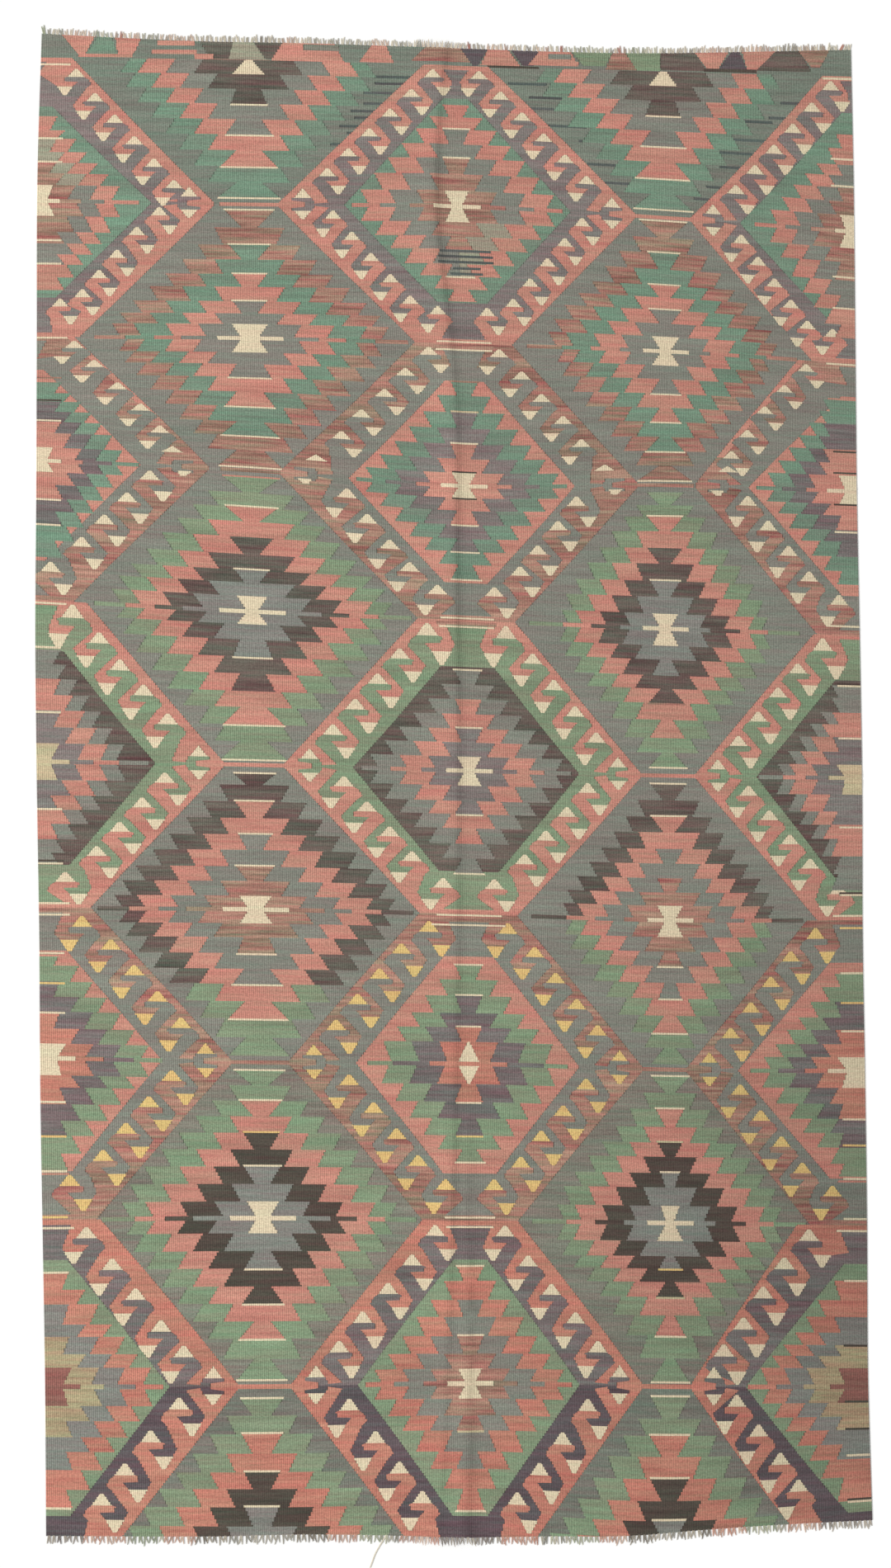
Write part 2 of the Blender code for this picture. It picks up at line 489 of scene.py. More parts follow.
THIRD_BAND = dict(
    LONG_BAND, first_scale=(1.1, 1.28), lower=tips((247, 20), (-44.3, 51), 4, (52, 227)))
FOURTH_UPPER = [(80, 17)] + tips((135, 64), (44, 51), 4)
FOURTH_BAND = dict(LONG_BAND, first_scale=(1.0, 1.08), upper=FOURTH_UPPER)

# The bands of each tier: at the left selvedge, in the middle and at the right selvedge. The tips
# are (out, down): on the upper side from the diamond's top line, and on the lower side from its
# corner's level.
BANDS = (
    (
        dict(CLOSE_BAND, ends=(76.0, 97.0), inner_corner=239.0,
             upper=[(85, 24), (124, 74), (164, 118), (204, 162), (243, 208), (283, 252)],
             lower=[(254, 10), (210, 54), (171, 105), (136, 150), (103, 193), (59, 214)]),
        CLOSE_BAND,
        dict(CLOSE_BAND, upper_scale=(1.0, 0.87), lower_scale=(0.93, 0.93), inner_corner=254.0,
             lower=tips((251, 26), (-36.2, 45.8), 5, (50, 224))),
    ),
    (
        dict(SECOND_BAND, upper=[(99, 10), (138, 55), (184, 108), (229, 158), (267, 209)],
             lower=tips((247, 13), (-44.3, 51), 4, (54, 222)), border=(0.62, "salmon")),
        dict(SECOND_BAND, upper=[(71, 10), (117, 56), (158, 103), (203, 150), (242, 200)],
             lower=[(232, 24), (193, 77), (150, 131), (112, 179), (58, 227)]),
        dict(SECOND_BAND, ends=(135.0, 99.0), border=(0.8, "salmon"), inner_corner=246.0,
             upper=[(117, 10), (165, 62), (209, 115), (248, 172), (283, 222)]),
    ),
    (
        dict(THIRD_BAND, upper=[(72, 7), (123, 58), (163, 107), (208, 152), (254, 205)]),
        THIRD_BAND,
        THIRD_BAND,
    ),
    (
        FOURTH_BAND,
        dict(FOURTH_BAND, lower=[(243, 24), (195, 78), (149, 128), (106, 179), (50, 223)]),
        dict(FOURTH_BAND, lower=tips((247, 29), (-44.3, 51), 4, (50, 226)),
             inner_corner=252.0),
    ),
    (
        dict(LONG_BAND, upper=[(72, 15), (120, 73), (164, 127), (212, 184), (256, 229)],
             lower=[(247, 20), (192, 77), (142, 134), (97, 186)]),
        dict(LONG_BAND, upper=[(72, 10), (120, 66), (169, 119), (220, 171), (267, 223)],
             lower=[(246, 25), (193, 82), (145, 134), (98, 184)]),
        dict(LONG_BAND, ends=(135.0, 99.0), inner_corner=246.0, upper_scale=(1.1, 1.08),
             upper=[(110, 10), (163, 64), (208, 119), (250, 177), (292, 226)],
             lower=[(265, 15), (219, 66), (174, 115), (137, 162)]),
    ),
)


def hooked_unit(points, tip, scale, mirror, datum):
    """Places a unit's points at its tip, as (out, up)."""
    side = -1 if mirror else 1
    return [(tip[0] + side * x * scale[0], datum - tip[1] - y * scale[1]) for x, y in points]


def diamond(line, centre, half, band, dyes, field):
    """One diamond with its hooked band. Dyes are those of the outer hooks, inner hooks above and
    below the corners, triangles, and the ground inside."""
    outer, inner_up, inner_down, triangle, ground = dyes
    top = centre + HALF_TIER
    foot = centre - HALF_TIER
    top_half, foot_half = band["ends"]
    outline = [
        (top_half, top),
        (OUTER_CORNER, centre + OUTER_CORNER_HALF),
        (OUTER_CORNER, centre - OUTER_CORNER_HALF),
        (foot_half, foot),
    ]
    weave_about(line, half, outline, outer)
    if "border" in band:
        share, dye = band["border"]
        out = top_half + (OUTER_CORNER - top_half) * share
        low = top - (HALF_TIER - OUTER_CORNER_HALF) * share
        border = [(top_half, top), (out, low), (out - BORDER_WIDTH, low),
                  (top_half - BORDER_WIDTH, top)]
        weave([(line + half * x, y) for x, y in border], dye)
    upper = []
    triangles = []
    for number, tip in enumerate(band["upper"]):
        scale = band["upper_scale"]
        if number == 0:
            scale = (scale[0] * band["first_scale"][0], scale[1] * band["first_scale"][1])
        upper += hooked_unit(HOOKS, tip, scale, False, top)
        triangles.append(hooked_unit(UPRIGHT, tip, scale, False, top))
        triangles.append(hooked_unit(HANGING, tip, scale, False, top))
    upper[0] = (band["first_elbow"][0], top - band["first_elbow"][1])
    corner = [(out, centre + up) for out, up in CORNER_HOOK]
    lower = []
    for tip in band["lower"]:
        lower += hooked_unit(HOOKS, tip, band["lower_scale"], True, centre)
        triangles.append(hooked_unit(UPRIGHT, tip, band["lower_scale"], True, centre))
        triangles.append(hooked_unit(HANGING, tip, band["lower_scale"], True, centre))
    for points in band["corner"]:
        triangles.append([(out, centre + up) for out, up in points])
    middle = len(CORNER_HOOK) // 2
    start = [(band["line_halves"][0], top - HOOKS_UNDER_TOP)]
    end = [(band["line_halves"][1], foot + HOOKS_OVER_FOOT)]
    inner_corner = band.get("inner_corner", INNER_CORNER)
    stem = (CORNER_STEM, centre)
    level_end = (inner_corner, centre)
    weave_about(line, half, start + upper + corner[:middle] + [stem, level_end], inner_up)
    weave_about(line, half, [level_end, stem] + corner[middle:] + lower + end, inner_down)
    for points in triangles:
        for side in ((half,) if half else (1, -1)):
            weave([(line + side * out, up) for out, up in points], triangle)
    (top_out, top_up), (foot_out, foot_up) = field
    inside = [(top_out, centre + top_up), (inner_corner, centre), (foot_out, centre - foot_up)]
    weave_about(line, half, inside, ground)


def rows_of(heights, half_tier_height):
    """Turns real row heights in millimetres into heights on the chart."""
    return [height * HALF_TIER / half_tier_height for height in heights]


# The large medallions, from the top hem down. Caps are for the rings of 3, 5, 7 and 9 rows, rows
# are real row heights counted out from the centre, and lines are the dyes of the thin lines at the
# caps.
LARGE_LEFT = (
    # first, step, slant, foot, caps, core, waist, bars, rows above and below
    motif((70, 82), (32, 28.5), (18, 20), (15, 25), ((33, 34, 41, 49), (36, 47, 57, 62)), (33, 33),
          7, (), (None, (29, 30, 30, 31, 31, 32, 33, 33, 31))),
    motif((70, 84), (32, 28), (18, 20), (15, 26), ((33, 34, 41, 49), (42, 49, 57, 62)), (36, 36),
          16, WIDE_BARS,
          ((29, 22, 25, 30, 26, 30, 30, 35, 34), (29, 24, 27, 30, 30, 32, 28, 30, 32))),
    motif((85, 76), (30, 30), (22, 22), (15, 25), ((33, 43, 51, 55), (38, 43, 59, 64)), (30, 30),
          10, WIDE_BARS,
          ((30, 27, 25, 32, 35, 32, 30, 30, 32), (27, 32, 35, 34, 35, 32, 35, 34, 37)),
          lines=(("cream", None, "cream", "salmon"), ("cream", None, "cream", "cream"))),
    motif((68, 84), (32.5, 29), (18, 20), (15, 25), ((37, 32, 38, 40), (38, 48, 58, 60)), (32, 32),
          13, WIDE_BARS,
          ((27, 30, 30, 34, 32, 34, 34, 34, 22), (29, 29, 33, 32, 31, 35, 35, 38, 37)),
          run_out=((9, 5, "green", 0),), lines=(CREAM_LINES, ("cream", "cream", "cream", None))),
    motif((61, 77), (33, 29.5), (18, 20), (15, 16), ((36, 35, 41, 49), (36, 40, 45, 48)), (32, 30),
          12, WIDE_BARS,
          ((33, 35, 35, 35, 34, 34, 32, 32, 30), (32, 37, 36, 37, 35, 36, 35, 41, 40)),
          lines=(("cream", "yellow", "cream", "cream"), CREAM_LINES)),
    motif((70, 70), (33, 33), (18, 18), (18, 18), ((34, 35, 40, 42), (34, 35, 40, 42)), (32, 32),
          12, WIDE_BARS, ((36, 37, 39, 37, 34, 38, 40, 38, 34), None)),
)
LARGE_RIGHT = (
    dict(LARGE_LEFT[0], core=(30, 30)),
    motif((66, 62), (29, 27), (18, 18), (12, 12), ((34, 33, 33, 50), (32, 32, 41, 57)), (30, 30), 9,
          NARROW_BARS,
          ((30, 27, 28, 26, 25, 33, 33, 31, 32), (29, 28, 30, 29, 29, 31, 29, 29, 29))),
    motif((62, 67), (26, 26), (16, 18), (12, 12), ((32, 38, 38, 40), (30, 38, 38, 40)), (28, 28),
          10, NARROW_BARS,
          ((30, 34, 32, 35, 32, 34, 30, 24, 27), (35, 29, 32, 27, 29, 34, 37, 30, 29)),
          lines=(("cream", None, "cream", None), (None, "rose", None, "cream"))),
    motif((66, 55), (26, 27), (16, 18), (12, 12), ((27, 30, 38, 37), (27, 24, 38, 40)), (28, 28),
          10, NARROW_BARS,
          ((29, 27, 29, 30, 30, 34, 32, 34, 32), (35, 30, 30, 34, 32, 35, 35, 30, 33)),
          run_out=((9, 0, "green", 0),),
          lines=((None, None, "cream", "cream"), ("cream", "cream", "cream", None))),
    motif((57, 65), (29, 28), (16, 18), (10, 9), ((20, 26, 30, 40), (24, 29, 32, 40)), (20, 28), 8,
          NARROW_BARS, ((34, 37, 29, 33, 29, 32, 37, 34, 33), (38, 32, 26, 28, 31, 38, 41, 45, 45)),
          lines=(("cream", "beige", "cream", "cream"), ("yellow", "beige", "cream", "cream"))),
    motif((67, 67), (32, 32), (18, 18), (16, 16), ((35, 40, 42, 40), (35, 40, 42, 40)), (28, 28),
          10, NARROW_BARS, ((34, 35, 34, 40, 44, 45, 43, 35, 46), None)),
)

# Large medallions: dyes of the rings of 3, 5, 7 and 9 rows, and of the ground.
LARGE_DYES = (
    ("umber", "slate", "salmon", "teal", "pewter"),
    ("slate", "salmon", "teal", "rose", "slate"),
    ("blue", "umber", "salmon", "green", "slate"),
    ("rose", "slate", "salmon", "umber", "slate"),
    ("blue", "black", "salmon", "green", "taupe"),
    ("blue", "black", "coral", "green", "lead"),
)

# Row heights inside the diamonds.
SMALL_ROWS = (
    ((32, 34, 32, 29, 30, 25, 25), (32, 29, 27, 30, 25, 27, 25)),
    ((27, 29, 30, 32, 32, 34, 27), (24, 26, 29, 29, 27, 27, 30)),
    ((29, 29, 28, 29, 30, 29, 28), (30, 31, 27, 29, 32, 30, 30)),
    ((44, 29, 29, 35, 33, 29), (42, 37, 34, 35, 28, 25)),
    ((29, 30, 35, 39, 35, 39, 29), (32, 35, 31, 43, 35, 40, 43)),
)

# The thin lines inside the diamonds in the middle: rows from the centre, half length, dye.
SMALL_LINES = (
    ((5, 28, "cream"), (3, 28, "cream"), (-5, 30, "cream")),
    ((7, 30, "rose"), (5, 28, "beige"), (3, 28, "cream"), (1, 25, "black"),
     (-1, 25, "black"), (-3, 28, "cream"), (-5, 30, "cream"), (-7, 32, "cream")),
    ((7, 30, "cream"), (3, 28, "cream"), (-3, 28, "cream"), (-7, 32, "cream")),
    ((6, 30, "cream"), (4, 28, "cream"), (2, 26, "cream"),
     (-2, 26, "cream"), (-4, 28, "yellow"), (-6, 32, "cream")),
    ((7, 30, "cream"), (3, 28, "cream"), (-3, 28, "beige"), (-7, 32, "cream")),
)

# Diamonds, tier by tier: outer hooks, inner hooks above and below, triangles, ground inside, and
# then the rings inside from the core out.
BAND_DYES = (
    ("salmon", "mauve", "mauve", "cream", "teal"),
    ("rose", "slate", "slate", "cream", "salmon"),
    ("salmon", "green", "green", "cream", "umber"),
    ("rose", "slate", "slate", "yellow", "salmon"),
    ("coral", "plum", "purple", "cream", "green"),
)
MIDDLE_RINGS = (
    ((3, "rose"), (5, "slate"), (7, "salmon")),
    ((3, "salmon"), (5, "mauve"), (7, "teal")),
    ((3, "mauve"), (5, "salmon"), (7, "slate")),
    ((2, "coral"), (4, "plum"), (6, "green")),
    ((3, "rose"), (5, "slate"), (7, "coral")),
)
EDGE_RINGS = (
    ((3, "rose"), (5, "slate"), (7, "salmon")),
    ((3, "salmon"), (5, "plum"), (7, "teal")),
    ((3, "mauve"), (5, "salmon"), (7, "slate")),
    ((3, "coral"), (5, "plum"), (7, "green")),
    ((3, "tan"), (5, "blue"), (7, "coral")),
)
EDGE_CORES = ("cream", "cream", "beige", "cream", "madder")
MIDDLE_BARS = ("cream", "cream", "cream", "coral", "cream")

# How far the half diamonds' lines lie inside the selvedges.
EDGE_INSETS = (
    # left, right
    (-13.0, 0.0),
    (-25.0, -7.0),
    (0.0, 0.0),
    (3.0, 23.0),
    (11.0, 14.0),
)
FIELDS = (
    ((24.0, 230.0), (50.0, 211.0)),
    ((39.0, 221.0), (43.0, 219.0)),
    ((54.0, 205.0), (60.0, 211.0)),
    ((50.0, 214.0), (55.0, 211.0)),
    ((35.0, 227.0), (36.0, 224.0)),
)
FIRST_EDGE_FIELD = ((39.0, 198.0), (50.0, 211.0))

# Where one diamond stands on the next: the chart's level there, how far off it a line lies, its
# half length, and its dye. The rose ones are stripes.
JUNCTION_LINES = (
    (-600, 4, 55, "cream"), (-600, -13, 58, "cream"),
    (-1200, 4, 55, "cream"), (-1200, -14, 56, "cream"),
    (-1800, -2, 67, "cream"), (-1800, -22, 75, "cream"),
    (-2400, 6, 52, "cream"), (-2400, -12, 50, "cream"),
    (-600, -7, 60, "rose"), (-1200, -7, 60, "rose"), (-1800, -12, 76, "rose"),
)
JUNCTION_STRIPE = 8.0

# Thin lines that run in from the selvedges: side, dye, reach, levels.
EDGE_LINES = (
    (-1, "cream", 62, (-14, -602, -1205, -1790, -1813, -2415)),
    (-1, "cream", 48, (-168, -217, -385, -436, -804, -987, -1042, -1289, -1407, -1595, -1708)),
    (-1, "cream", 48, (-1891, -2011, -2183, -2311, -2496, -2911)),
    (-1, "yellow", 48, (-1952, -2247, -2395)),
    (-1, "rose", 48, (-698,)),
    (-1, "salmon", 52, (-1896, -2316)),
    (-1, "black", 48, (-754, -1702)),
    (1, "cream", 66, (-5, -604, -1182, -1791, -2411)),
    (1, "cream", 50, (-158, -210, -401, -473, -988, -1307, -1417, -1605, -1748, -1907)),
    (1, "cream", 50, (-2022, -2195, -2311, -2388, -2505, -2823, -2905)),
    (1, "yellow", 50, (-1816, -1966, -2246)),
    (1, "salmon", 60, (-686, -1201, -2316)),
    (1, "black", 50, (-811, -860, -930, -1303, -1744, -2625, -2727, -2776, -2901)),
)
EDGE_LINE_HEIGHT = 4.0

# The strip above the first tier, cut by the top hem: dye, left and right at the hem, left and
# right at its foot, and the level of its foot.
TOP_STRIP = (
    ("pewter", -860, -790, -860, -765, -8),
    ("salmon", -790, -735, -765, -750, 8),
    ("teal", -730, -695, -750, -685, 8),
    ("salmon", -690, -630, -685, -655, 9),
    ("pewter", -640, -535, -655, -540, -1),
    ("pewter", -540, -450, -540, -460, -2),
    ("umber", -520, -450, -495, -460, -1),
    ("sage", -450, -410, -460, -385, 2),
    ("umber", -410, -350, -385, -365, 3),
    ("salmon", -350, -245, -375, -225, 0),
    ("pewter", -245, -170, -225, -195, 1),
    ("salmon", -170, -140, -195, -125, 2),
    ("pewter", -140, -60, -125, -90, 6),
    ("rose", -60, 10, -90, 35, 8),
    ("purple", 10, 65, 35, 45, 1),
    ("salmon", 65, 105, 50, 130, 3),
    ("purple", 110, 170, 135, 155, 4),
    ("salmon", 170, 230, 145, 245, 6),
    ("green", 230, 315, 255, 300, 8),
    ("rose", 315, 340, 300, 365, 1),
    ("green", 340, 415, 365, 415, 1),
    ("umber", 415, 490, 415, 515, 3),
    ("salmon", 490, 560, 515, 540, 8),
    ("purple", 565, 590, 540, 605, 7),
    ("salmon", 595, 660, 605, 625, 5),
    ("umber", 660, 730, 625, 750, 7),
    ("rose", 730, 785, 750, 770, 16),
    ("pewter", 785, 860, 770, 860, 5),
)
STRIP_TOP = 38.0
STRIP_STRETCH = 1.8

# Single lines of weft near the top hem that belong to no motif: dye, left, right, level, height.
LOOSE_LINES = (
    ("salmon", -765, -655, 2, 7),
    ("salmon", -605, -530, 28, 10),
    ("salmon", -615, -525, 10, 9),
    ("salmon", -530, -490, -5, 16),
    ("rose", -500, -375, -4, 5),
    ("taupe", -310, -235, 23, 13),
    ("salmon", 165, 230, 30, 7),
    ("slate", 185, 230, 20, 11),
    ("salmon", 155, 245, 8, 8),
    ("black", 65, 165, -2, 5),
    ("black", 510, 625, 2, 7),
)

# Where a darker yarn was used up: left, right, level. In the ground of the first tier, and low in
# its middle diamond.
GROUND_STREAKS = (
    (-163, -87, -31), (-163, -95, -45), (-188, -129, -65), (-188, -138, -88), (-213, -146, -104),
    (-205, -155, -118), (-238, -171, -136), (-222, -180, -150), (-255, -205, -174),
    (-255, -213, -195), (105, 180, -37), (147, 213, -65), (147, 197, -88), (180, 263, -123),
    (247, 305, -152), (263, 322, -199), (297, 363, -236), (681, 764, -58), (653, 699, -88),
    (598, 662, -97), (560, 644, -134), (542, 616, -161), (542, 607, -190), (514, 588, -232),
    (487, 542, -258),
)
DIAMOND_STREAKS = (
    (-40, 65, -400), (-42, 67, -412), (-44, 69, -424), (-14, 42, -438), (-18, 46, -450),
)
STREAK_HEIGHT = 5.5


def half_height(column, half_tier):
    """Real height in millimetres of a half tier at a line of motifs."""
    return (TIER_LINES[half_tier][column + 1] - TIER_LINES[half_tier + 1][column + 1]) / MM


def chart_grounds():
    """The ground behind the large medallions."""
    side = HALF_WIDTH + BEYOND_SELVEDGE
    for tier, dyes in enumerate(LARGE_DYES):
        low, high = -TIER * tier - HALF_TIER, -TIER * tier + HALF_TIER
        weave([(-side, low), (side, low), (side, high), (-side, high)], dyes[-1])


def chart_streaks(streaks):
    """Short lengths of a darker yarn, a pass or two high."""
    for left, right, level in streaks:
        high = level + STREAK_HEIGHT
        weave([(left, level), (right, level), (right, high), (left, high)], "ink")


def chart_top_strip():
    """What is left, at the top hem, of the tier that the weaver's chart starts in."""
    for dye, left_top, right_top, left_foot, right_foot, foot in TOP_STRIP:
        high = foot + (STRIP_TOP - foot) * STRIP_STRETCH
        left = left_foot + (left_top - left_foot) * STRIP_STRETCH
        right = right_foot + (right_top - right_foot) * STRIP_STRETCH
        weave([(left_foot, foot), (right_foot, foot), (right, high), (left, high)], dye)
    for dye, left, right, level, height in LOOSE_LINES:
        weave([(left, level), (right, level), (right, level + height), (left, level + height)], dye)


def chart_large_medallions():
    """The two lines of large medallions, from the top hem down."""
    for column, line, shapes in ((1, -COLUMN, LARGE_LEFT), (3, COLUMN, LARGE_RIGHT)):
        for tier, shape in enumerate(shapes):
            dyes = LARGE_DYES[tier]
            above, below = shape["rows"]
            if above:
                above = rows_of(above, half_height(column, 2 * tier - 1))
            if below:
                below = rows_of(below, half_height(column, 2 * tier))
            rings, lines = [], []
            for ring in range(len(dyes) - 1):
                rows = 3 + 2 * ring
                caps = shape["caps"][0][ring], shape["caps"][1][ring]
                rings.append((rows, dyes[ring], caps[0], caps[1]))
                for side, cap, sign in ((0, caps[0], 1), (1, caps[1], -1)):
                    if shape["lines"][side][ring]:
                        dye = shape["lines"][side][ring]
                        lines.append((sign * rows, cap + CAP_OVERLAP, dye))
            medallion(line, -TIER * tier, 0, shape, rings, above, below, lines, "cream", "cream")


def chart_diamonds():
    """The three lines of hooked diamonds, and the medallions inside them."""
    places = ((0, -HALF_WIDTH, 1), (2, 0.0, 0), (4, HALF_WIDTH, -1))
    for tier, band_dyes in enumerate(BAND_DYES):
        centre = -TIER * tier - HALF_TIER
        for line in (-COLUMN, COLUMN):
            weft_line(line, 0, COLUMN - OUTER_CORNER + CORNER_OVERLAP,
                      centre - CORNER_LINE_HALF, centre + CORNER_LINE_HALF, band_dyes[0])
        for column, line, half in places:
            rings = EDGE_RINGS[tier] if half else MIDDLE_RINGS[tier]
            core = EDGE_CORES[tier] if half else "cream"
            if half:
                line += half * EDGE_INSETS[tier][0 if half > 0 else 1]
            field = FIRST_EDGE_FIELD if (tier, column) == (0, 0) else FIELDS[tier]
            diamond(line, centre, half, BANDS[tier][column // 2], band_dyes, field)
            shape = EDGE_SHAPES[tier][column // 4] if half else SMALL_SHAPES[tier]
            above, below = shape["rows"] if half else SMALL_ROWS[tier]
            above = rows_of(above, half_height(column, 2 * tier))
            below = rows_of(below, half_height(column, 2 * tier + 1))
            capped = [(rows, dye, *shape["caps"]) for rows, dye in rings]
            lines = () if half else SMALL_LINES[tier]
            bar = core if half else MIDDLE_BARS[tier]
            medallion(line, centre, half, shape, capped, above, below, lines, core, bar)


def chart_thin_lines():
    """The thin lines where the diamonds meet, and those that run in from the selvedges."""
    for junction, level, reach, dye in reversed(JUNCTION_LINES):
        height = LINE_HEIGHT if dye == "cream" else JUNCTION_STRIPE
        weft_line(0.0, 0, reach, junction + level - height / 2, junction + level + height / 2, dye)
    for side, dye, reach, line_levels in EDGE_LINES:
        for level in line_levels:
            low, high = level - EDGE_LINE_HEIGHT / 2, level + EDGE_LINE_HEIGHT / 2
            weft_line(side * HALF_WIDTH, -side, reach, low, high, dye)


# ------------------------------------------------------------------------------------------------
# Laying the chart on the rug
# ------------------------------------------------------------------------------------------------

def smooth(places, values, place):
    """A smooth curve through values at places, read at one place."""
    last = len(places) - 1
    right = min(max(bisect.bisect_right(places, place), 1), last)
    left = right - 1
    span = places[right] - places[left]
    share = (place - places[left]) / span

    def slope(at):
        before = max(at - 1, 0)
        after = min(at + 1, last)
        return (values[after] - values[before]) / (places[after] - places[before])

    rise = values[right] - values[left]
    bend_left = slope(left) * span - rise
    bend_right = rise - slope(right) * span
    blend = (1 - share) * bend_left + share * bend_right
    return values[left] + share * rise + share * (1 - share) * blend


def reading(table, column, place):
    """The column's value at a place, on a smooth curve through the table's rows."""
    return smooth([row[0] for row in table], [row[column] for row in table], place)


# The five lines of motifs, by number: the two selvedges and the three lines between them.
STATIONS = (0, 1, 2, 3, 4)

# The rounds that it takes to find a place on the chart from a place on the rug.
ROUNDS = 14


def cloth_height(across, down):
    """How high up the rug a point of the chart lies, from its column and half tier."""
    return smooth(STATIONS, [reading(TIER_LINES, column + 1, down) for column in STATIONS], across)


def share_along(across, y):
    """How much of the rug's length lies below a height on the rug."""
    bottom = reading(HEMS, BOTTOM_HEM, across / 4)
    top = reading(HEMS, TOP_HEM, across / 4)
    return (y - bottom) / (top - bottom)


def laid(x, y):
    """A point of the chart, laid flat on the rug: metres, before the rug is centred."""
    across = x / COLUMN + 2
    up = cloth_height(across, -y / HALF_TIER)
    along = share_along(across, up)
    lines = [
        reading(SELVEDGES, 1, along),
        reading(COLUMN_LINES, 1, up),
        reading(COLUMN_LINES, 2, up),
        reading(COLUMN_LINES, 3, up),
        reading(SELVEDGES, 2, along),
    ]
    return smooth(STATIONS, lines, across), up


def charted(x, y):
    """The point of the chart that is laid at a place on the rug."""
    chart_x, chart_y = x / MM, (y - TIER_LINES[0][3]) / MM
    for _ in range(ROUNDS):
        at = laid(chart_x, chart_y)
        chart_x += (x - at[0]) / MM
        chart_y += (y - at[1]) / MM
    return chart_x, chart_y


def hem_level(chart_x, hem):
    """The chart's level at a hem."""
    across = chart_x / COLUMN + 2
    target = reading(HEMS, hem, across / 4)
    level = 0.0 if hem == TOP_HEM else -len(BANDS) * TIER
    for _ in range(ROUNDS):
        level += (target - cloth_height(across, -level / HALF_TIER)) / MM
    return level


def crease_height(x, y):
    """How high the cloth stands off the floor."""
    along = (y - MIDDLE_BOTTOM) / (MIDDLE_TOP - MIDDLE_BOTTOM)
    along = min(max(along, 0.0), 1.0)
    height = 0.0
    for crease, section in ((CREASE, CREASE_SECTION), (SECOND_CREASE, SECOND_SECTION)):
        offset = x - reading(crease, 1, min(along, crease[-1][0]))
        if along <= crease[-1][0] and section[0][0] < offset < section[-1][0]:
            height += max(reading(crease, 2, along) * reading(section, 1, offset), 0.0)
    return height


# ------------------------------------------------------------------------------------------------
# The cloth's mesh
# ------------------------------------------------------------------------------------------------

# Millimetres on the chart.
OUTLINE_STEP = 24.0
GUIDE_STEP = 42.0
GUIDE_STAGGER = 7.0
LONGEST_EDGE = 45.0
EDGE_ROUNDING = 4.0
CUT_TOLERANCE = 0.002

# The size of the squares by which patches are looked up, in the same measure.
CELL = 30.0

# The guide lines along the crease run on past both hems by a share of the length.
CREASE_ROWS = 90
CREASE_OVERRUN = 0.01

# Metres: from warp to warp, and a distance to a colour change that says that there is none near.
WARP_PITCH = 0.0038
NO_EDGE = 0.05

# A colour change flatter than this runs along a weft, and so has no steps.
FLAT_SLOPE = 0.12

# The cloth thins towards its rim. Its slope is measured this far, in metres, on both sides.
RIM_THICKNESS_SHARE = 0.62
SLOPE_STEP = 0.002

HEM_READINGS = 100
LOT_SEED = 5

# The chart's (0, 0) on the weave map, in metres.
WEAVE_MAP_MIDDLE = 1.0
WEAVE_MAP_TOP = 4.0

# The bake map has the cloth's top on its left half and the underside on its right half.
BAKE_SPREAD = 1.04
BAKE_MARGIN = 0.01
BAKE_UNDERSIDE = 0.5


def chart_outline():
    """The rug's outline on the chart, anticlockwise from the bottom left corner."""
    count = round(2 * HALF_WIDTH / OUTLINE_STEP)
    places = [-HALF_WIDTH + 2 * HALF_WIDTH * k / count for k in range(count + 1)]
    bottom = [(x, hem_level(x, BOTTOM_HEM)) for x in places]
    top = [(x, hem_level(x, TOP_HEM)) for x in reversed(places)]

    def selvedge(start, end):
        steps = round(abs(end[1] - start[1]) / OUTLINE_STEP)
        return [(start[0], start[1] + (end[1] - start[1]) * k / steps) for k in range(1, steps)]

    return bottom + selvedge(bottom[-1], top[0]) + top + selvedge(top[-1], bottom[0])


def crease_guides():
    """Lines along the long crease, so that the pattern's patches bend with the cloth."""
    offsets = [row[0] for row in CREASE_SECTION]
    offsets += [(a + b) / 2 for a, b in zip(offsets, offsets[1:])]
    for offset in offsets:
        line = []
        for step in range(CREASE_ROWS + 1):
            along = step / CREASE_ROWS * (1 + 2 * CREASE_OVERRUN) - CREASE_OVERRUN
            x = reading(CREASE, 1, min(max(along, 0.0), 1.0)) + offset
            y = MIDDLE_BOTTOM + (MIDDLE_TOP - MIDDLE_BOTTOM) * along
            line.append(charted(x, y))
        yield line


def winds_round(loop, x, y):
    """True where a loop of points runs round a point, even where it crosses itself."""
    turns = 0
    last_x, last_y = loop[-1]
    for next_x, next_y in loop:
        rises = next_y > last_y
        if (last_y <= y) != (next_y <= y):
            left = (next_x - last_x) * (y - last_y) > (x - last_x) * (next_y - last_y)
            if left == rises:
                turns += 1 if rises else -1
        last_x, last_y = next_x, next_y
    return turns != 0


def patch_finder():
    """A function that says which patch of the chart is on top at a point."""
    cells = {}
    for number, (loop, _) in enumerate(chart):
        across = [int(point[0] // CELL) for point in loop]
        up = [int(point[1] // CELL) for point in loop]
        for i in range(min(across), max(across) + 1):
            for j in range(min(up), max(up) + 1):
                cells.setdefault((i, j), []).append(number)

    def top_patch(x, y):
        for number in reversed(cells[(int(x // CELL), int(y // CELL))]):
            if winds_round(chart[number][0], x, y):
                return number
        return 0

    return top_patch


